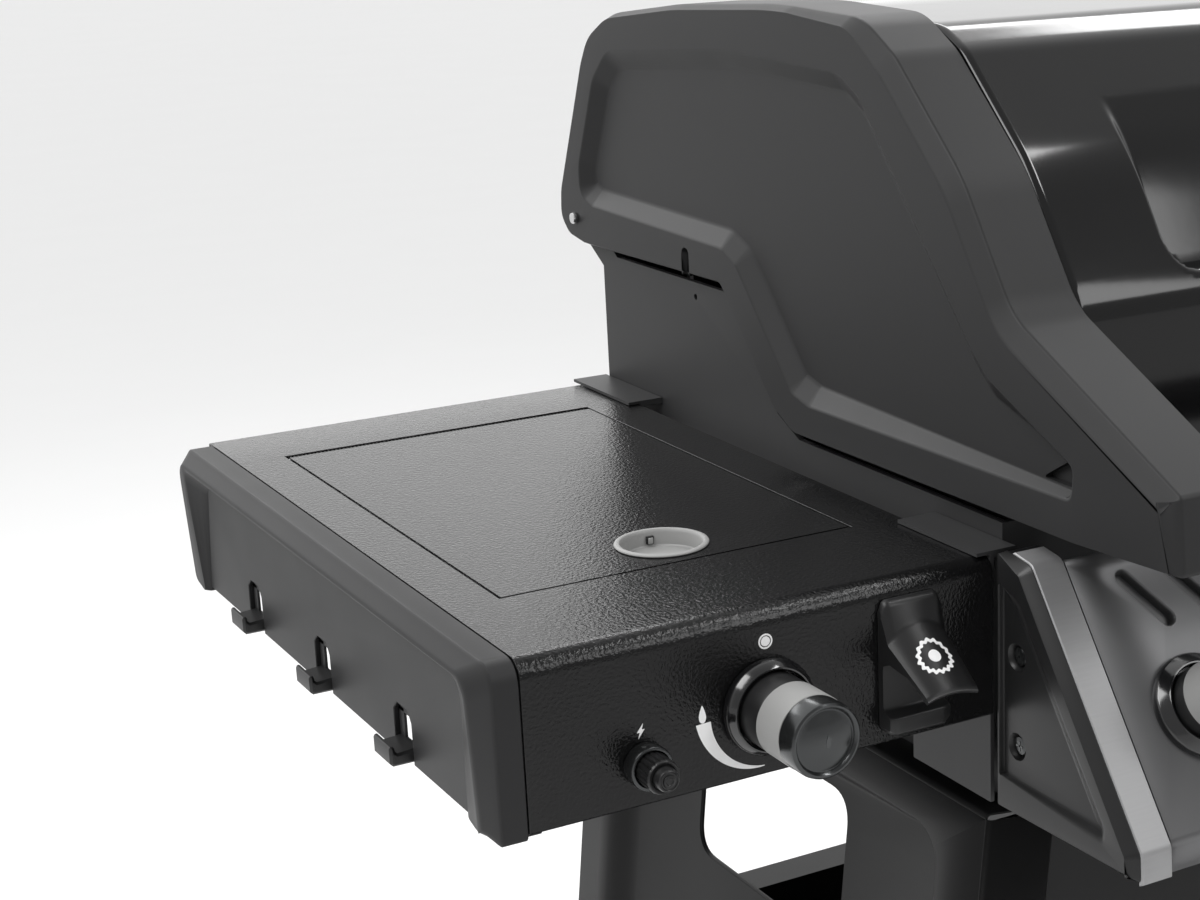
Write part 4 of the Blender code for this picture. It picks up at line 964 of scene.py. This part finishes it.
def control_end(target, side):
    """The moulded end of the control panel: soft sunk side, two screw wells and a pale front band."""
    outer, seam, band = 0.3395, CONTROL_HALF + 0.0004, 0.0208
    outline = ccw(fillet(END_OUTLINE, 0.006, 5))
    recess = ccw(fillet(END_RECESS, 0.008, 8))
    shape = bmesh.new()
    chamfer = [0.0050 * step_up(-p.x, 0.222, 0.234) + 0.0006 for p in outline]
    levels = [at_x(inset(outline, width), x)
              for width, x in ((0.0012, seam), (0.0006, seam + 0.0006), (0.0006, outer - 0.0074))]
    for share, back in ((0.12, 0.0064), (0.88, 0.0007), (1.05, 0.0)):
        levels.append(at_x(inset(outline, [w * share for w in chamfer]), outer - back))
    rim = rings(shape, levels, last_cap=False)[-1]
    depth = 0.0034
    walls = []
    for share in spread(0, 1, 6):
        widths = [share * (0.0010 + 0.0090 * step_up(-p.x, 0.222, 0.236)) for p in recess]
        walls.append(at_x(inset(recess, widths), outer - depth * step_up(share, 0.0, 1.0)))
    panel = tube(shape, walls)
    wells = []
    for y, z in END_SCREWS:
        loops = []
        for radius, sink in ((0.0082, 0.0), (0.0076, 0.0005), (0.0062, 0.0030), (0.0061, 0.0046)):
            loops.append([Vector((outer - depth - sink, y + radius * math.cos(a), z + radius * math.sin(a)))
                          for a in circle(32)])
        wells.append(rings(shape, loops, first_cap=False)[0])
    fill_between(shape, rim, panel[0])
    fill_between(shape, panel[-1], *wells)
    mirrored(shape, side)
    piece(f"{target}_moulding", shape, BLACK_PLASTIC, target, angle=28)
    strip = bmesh.new()
    line = fillet(BAND_OUTLINE, 0.008, 8, closed=False)
    inner = [p + Vector((0.0030, -0.0016)) for p in line]
    loop = ccw(line + inner[::-1])
    extruded(strip, loop, seam + 0.0002, seam + band, "X", 0.0006)
    mirrored(strip, side)
    trim(f"{target}_band", strip, BAND_METAL, target, slot="panel_paint")
    screws = bmesh.new()
    for y, z in END_SCREWS:
        screw(screws, turning((side, 0, 0), (side * (outer - depth - 0.0032), y, z)), 0.0056)
    trim(f"{target}_screws", screws, DARK_CHROME, target, slot="gloss_plastic")


def screw(shape, place, radius):
    """A round head with a low raised cross in place of its drive."""
    head = [(0, -0.0010), (radius, -0.0010), (radius, 0.0004), (radius * 0.9, 0.0010),
            (radius * 0.55, 0.0014), (0, 0.0015)]
    lathe(shape, head, place, 32)
    long, wide = radius * 0.52, radius * 0.11
    for turn in (0, math.pi / 2):
        made = add_box(shape, (-long, -wide, 0.0012), (long, wide, 0.0017))
        bmesh.ops.transform(shape, matrix=place @ Matrix.Rotation(turn, 4, "Z"), verts=made)


def capsule(centre, half, radius, lean, steps=10):
    """A round-ended slot outline in the panel's own plane."""
    points = arc((0, half), radius, 0, math.pi, steps + 1)
    points += arc((0, -half), radius, math.pi, 2 * math.pi, steps + 1)
    turn = Matrix.Rotation(lean, 2)
    return [turn @ Vector(p) + centre for p in points]


VENT_LIP = ((0.0, 0.0), (0.0005, -0.0002), (0.0011, -0.0010), (0.0015, -0.0030), (0.0016, -0.0060))


def control_panel():
    """The folded front panel with slanted vents near its top corners."""
    length = (PANEL_LOW - PANEL_TOP).length
    place = turning_up(PANEL_OUT, PANEL_TOP)
    half = CONTROL_HALF - 0.0006
    shape = bmesh.new()
    top, low = -0.004, -length + 0.004
    outer = [Vector((-half, low)), Vector((half, low)), Vector((half, top)), Vector((-half, top))]
    outer_row = [shape.verts.new(place @ Vector((p.x, p.y, 0))) for p in outer]
    for i in range(4):
        shape.edges.new((outer_row[i], outer_row[(i + 1) % 4]))
    vents = []
    for x in (-0.268, -0.236, 0.236, 0.268):
        line = capsule(Vector((x, -0.19 * length)), 0.0165, 0.0058, math.radians(35))
        loops = []
        for width, height in VENT_LIP:
            loops.append([place @ Vector((p.x, p.y, height)) for p in inset(line, width)])
        vents.append(rings(shape, loops, first_cap=False)[0])
    fill_between(shape, outer_row, *vents, normal=PANEL_OUT)
    for pair, path in (
        ((outer_row[3], outer_row[2]), [(-0.0015, -0.0006), (0.0, -0.0022), (0.0008, -0.0040),
                                        (0.0, -0.0300)]),
        ((outer_row[0], outer_row[1]), [(-length + 0.0010, -0.0008), (-length - 0.0008, -0.0030),
                                        (-length - 0.0022, -0.0052), (-length - 0.0120, -0.0125)]),
    ):
        before = pair
        for up, out in path:
            after = tuple(shape.verts.new(place @ Vector((x, up, out))) for x in (-half, half))
            shape.faces.new((before[0], before[1], after[1], after[0]))
            before = after
    item = piece("control_panel_sheet", shape, PANEL_PAINT, "control_panel", angle=40)
    even_normals(item)
    thicken(item, 0.0012)


# ---------------------------------------------------------------- cart

SIDE_HOLE = mm([(-50, 577, 22), (140, 577, 22), (140, 685, 22), (-50, 685, 22)])
SIDE_RECESS = mm([(-166, 135, 30), (262, 135, 30), (262, 706, 22), (-166, 706, 30)])


def cart_side(target, side):
    """A stamped steel side: sunk middle, flanged carrying hole, arch at the foot and two leg faces."""
    foot, turn = 0.020, 0.0035
    front, back = -0.2126, 0.306
    face = BODY_HALF - 0.0002
    inner = BODY_HALF - 0.048
    sheet = [
        (front + turn, foot, 0.0001), (-0.110, foot, 0.0001), (-0.110, 0.095, 0.030), (0.120, 0.095, 0.030),
        (0.120, foot, 0.0001), (back - turn, foot, 0.0001), (back - turn, CART_TOP - turn, 0.0001),
        (front + turn, CART_TOP - turn, 0.0001),
    ]
    shape = bmesh.new()
    edge_line = ccw(fillet(sheet, 0.01, 6))
    edge = [shape.verts.new((face, p.x, p.y)) for p in edge_line]
    recess = ccw(fillet(SIDE_RECESS, 0.02, 10))
    depth, walls = 0.0115, []
    widths = [0.010 + 0.022 * step_up(p.x, 0.200, 0.260) for p in recess]
    for share in spread(0, 1, 8):
        line = [width * share for width in widths]
        walls.append(at_x(inset(recess, line), face - depth * step_up(share, 0.0, 1.0)))
    sunk = tube(shape, walls)
    hole = ccw(fillet(SIDE_HOLE, 0.02, 9))
    floor = face - depth
    lips = []
    for width, sink in ((0.0, 0.0), (0.0004, 0.0009), (0.0010, 0.0015), (0.0012, 0.0030)):
        lips.append(at_x(inset(hole, width), floor - sink))
    lip = tube(shape, lips)
    fill_between(shape, edge, sunk[0])
    fill_between(shape, sunk[-1], lip[0])
    for y_end, sign in ((front, 1), (back, -1)):
        columns = []
        for angle in spread(0, math.pi / 2, 6):
            columns.append((face - turn + turn * math.cos(angle),
                            y_end + sign * (turn - turn * math.sin(angle))))
        for inwards, along in ((0.002, 0.0), (0.0006, 0.0006), (0.0, 0.0020), (0.0, 0.0150)):
            columns.append((inner + inwards, y_end + sign * along))
        open_sheet(shape, [[(x, y, z) for z in (foot, CART_TOP - turn)] for x, y in columns])
    fold = arc((face - turn, CART_TOP - turn), turn, 0, math.pi / 2, 6) + [(inner, CART_TOP)]
    open_sheet(shape, [[(x, y, z) for y in (front + turn, back - turn)] for x, z in fold])
    bmesh.ops.remove_doubles(shape, verts=shape.verts, dist=1e-6)
    bmesh.ops.recalc_face_normals(shape, faces=shape.faces)
    about = Vector((BODY_HALF, 0, CART_TOP))
    lean = Matrix.Rotation(-CART_SPLAY, 4, "Y")
    shape.transform(Matrix.Translation(about) @ lean @ Matrix.Translation(-about))
    mirrored(shape, side)
    item = piece(f"{target}_stamping", shape, CART_PAINT, target, angle=28)
    outward = max(item.data.polygons, key=lambda face: face.area).normal
    if outward.x * side < 0:
        item.data.flip_normals()
    thicken(item, 0.0014)


# ---------------------------------------------------------------- stage


def aim(place, yaw, down, roll):
    """The camera's matrix: yaw to the right of +Y, then down, then roll."""
    turn = Matrix.Rotation(math.radians(-yaw), 4, "Z") @ Matrix.Rotation(math.radians(90 - down), 4, "X")
    return Matrix.Translation(Vector(place)) @ turn @ Matrix.Rotation(math.radians(roll), 4, "Z")


def camera():
    data = bpy.data.cameras.new("camera")
    data.lens = CAMERA_LENS
    data.shift_x, data.shift_y = CAMERA_SHIFT
    data.clip_start = 0.05
    item = bpy.data.objects.new("camera", data)
    item.matrix_world = aim(CAMERA_PLACE, CAMERA_YAW, CAMERA_DOWN, CAMERA_ROLL)
    bpy.context.scene.collection.objects.link(item)
    bpy.context.scene.camera = item


# Name, place, what it is aimed at, width and height, and watts
LIGHTS = (
    ("key_box", (1.2, 1.7, 3.0), (-0.3, -0.1, 1.0), (2.4, 0.35), 23),
    ("left_box", (-2.1, -0.30, 2.95), (-0.33, -0.1, 1.0), (1.4, 1.4), 46),
    ("back_left_box", (-1.1, 2.4, 2.4), (-0.33, -0.1, 0.95), (1.2, 1.0), 19),
    ("fold_box", (0.8, -0.95, 3.0), (-0.5, -0.25, 0.89), (1.0, 0.3), 13),
    ("front_box", (1.2, -2.6, 2.6), (0.0, 0.0, 0.9), (1.6, 1.2), 30),
)


def area_light(name, place, target, size, power):
    data = bpy.data.lights.new(name, "AREA")
    data.shape = "RECTANGLE"
    data.size, data.size_y = size
    data.energy = power
    item = bpy.data.objects.new(name, data)
    turn = (Vector(target) - Vector(place)).to_track_quat("-Z", "Y").to_matrix().to_4x4()
    item.matrix_world = Matrix.Translation(Vector(place)) @ turn
    bpy.context.scene.collection.objects.link(item)


def studio():
    shape = bmesh.new()
    add_box(shape, (-60, -60, -0.02), (60, 60, -0.0005))
    floor = in_scene("floor", shape)
    floor.data.materials.append(surface("floor_paint", (0.82, 0.82, 0.82), 0.6, grain=(40, 0.05, 0.001),
                                        mottle=(3, 0.1), tone=0.02, wear=0.0))
    studio_world()
    bpy.context.scene.view_settings.view_transform = "Standard"
    for light in LIGHTS:
        area_light(*light)


def studio_world():
    """Pale all round, bright at the back and dimmer in front, as between a lit backdrop and a dark room."""
    world = bpy.data.worlds.new("studio")
    world.use_nodes = True
    tree = world.node_tree
    back = tree.nodes["Background"]
    back.inputs["Color"].default_value = (1, 1, 1, 1)
    place = tree.nodes.new("ShaderNodeTexCoord")
    axes = tree.nodes.new("ShaderNodeSeparateXYZ")
    link(tree, place.outputs["Generated"], axes.inputs["Vector"])
    strength = value_range(tree, axes.outputs["Y"], WORLD_FRONT, WORLD_BACK, *WORLD_FADE)
    strength.node.interpolation_type = "SMOOTHSTEP"
    link(tree, strength, back.inputs["Strength"])
    bpy.context.scene.world = world


# ---------------------------------------------------------------- whole


def dress_nodes():
    """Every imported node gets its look, fine edges and smooth shading; some are replaced afterwards."""
    for name, item in NODES.items():
        item.data.materials.clear()
        item.data.materials.append(SLOT_LOOK[NODE_SLOT[name]])
        smooth(item, 30)
        soften(item, 0.0004 if name in THIN else 0.0008, 2, 40)


THIN = {
    "thermometer_needle", "burner_lid", "shelf_left_top", "shelf_right_top", "cart_side_left",
    "cart_side_right", "drip_tray", "side_burner_bowl", "control_panel", "bottom_shelf", "cart_back_panel",
    "door_left", "door_right", "heat_shield_1", "heat_shield_2", "heat_shield_3", "burner_lid_rod",
}


def all_knobs():
    for number, x in enumerate(MAIN_KNOBS, 1):
        centre = PANEL_TOP.lerp(PANEL_LOW, KNOB_DOWN_PANEL) + Vector((x, 0, 0))
        knob(f"burner_knob_{number}", centre, PANEL_OUT, f"knob_bezel_{number}", 0.0555, 0.0300)
    knob("side_burner_knob", on_front(*SIDE_KNOB), (0, -1, 0), "side_knob_bezel", 0.0625, 0.0268)


dress_nodes()
lid_end("lid_end_left", -1)
lid_end("lid_end_right", 1)
hood()
lid_handle()
hinge_pins()
thermometer()
all_knobs()
shelf_cap("shelf_left_cap", -1)
shelf_cap("shelf_right_cap", 1)
shelf_top("shelf_left_top", SEAM, -BODY_HALF, True)
shelf_top("shelf_right_top", BODY_HALF, -SEAM, False)
burner_lid_pull()
lid_vents()
igniter()
prints()
bottle_opener()
control_end("control_end_left", -1)
control_end("control_end_right", 1)
control_panel()
cart_side("cart_side_left", -1)
cart_side("cart_side_right", 1)
camera()
studio()
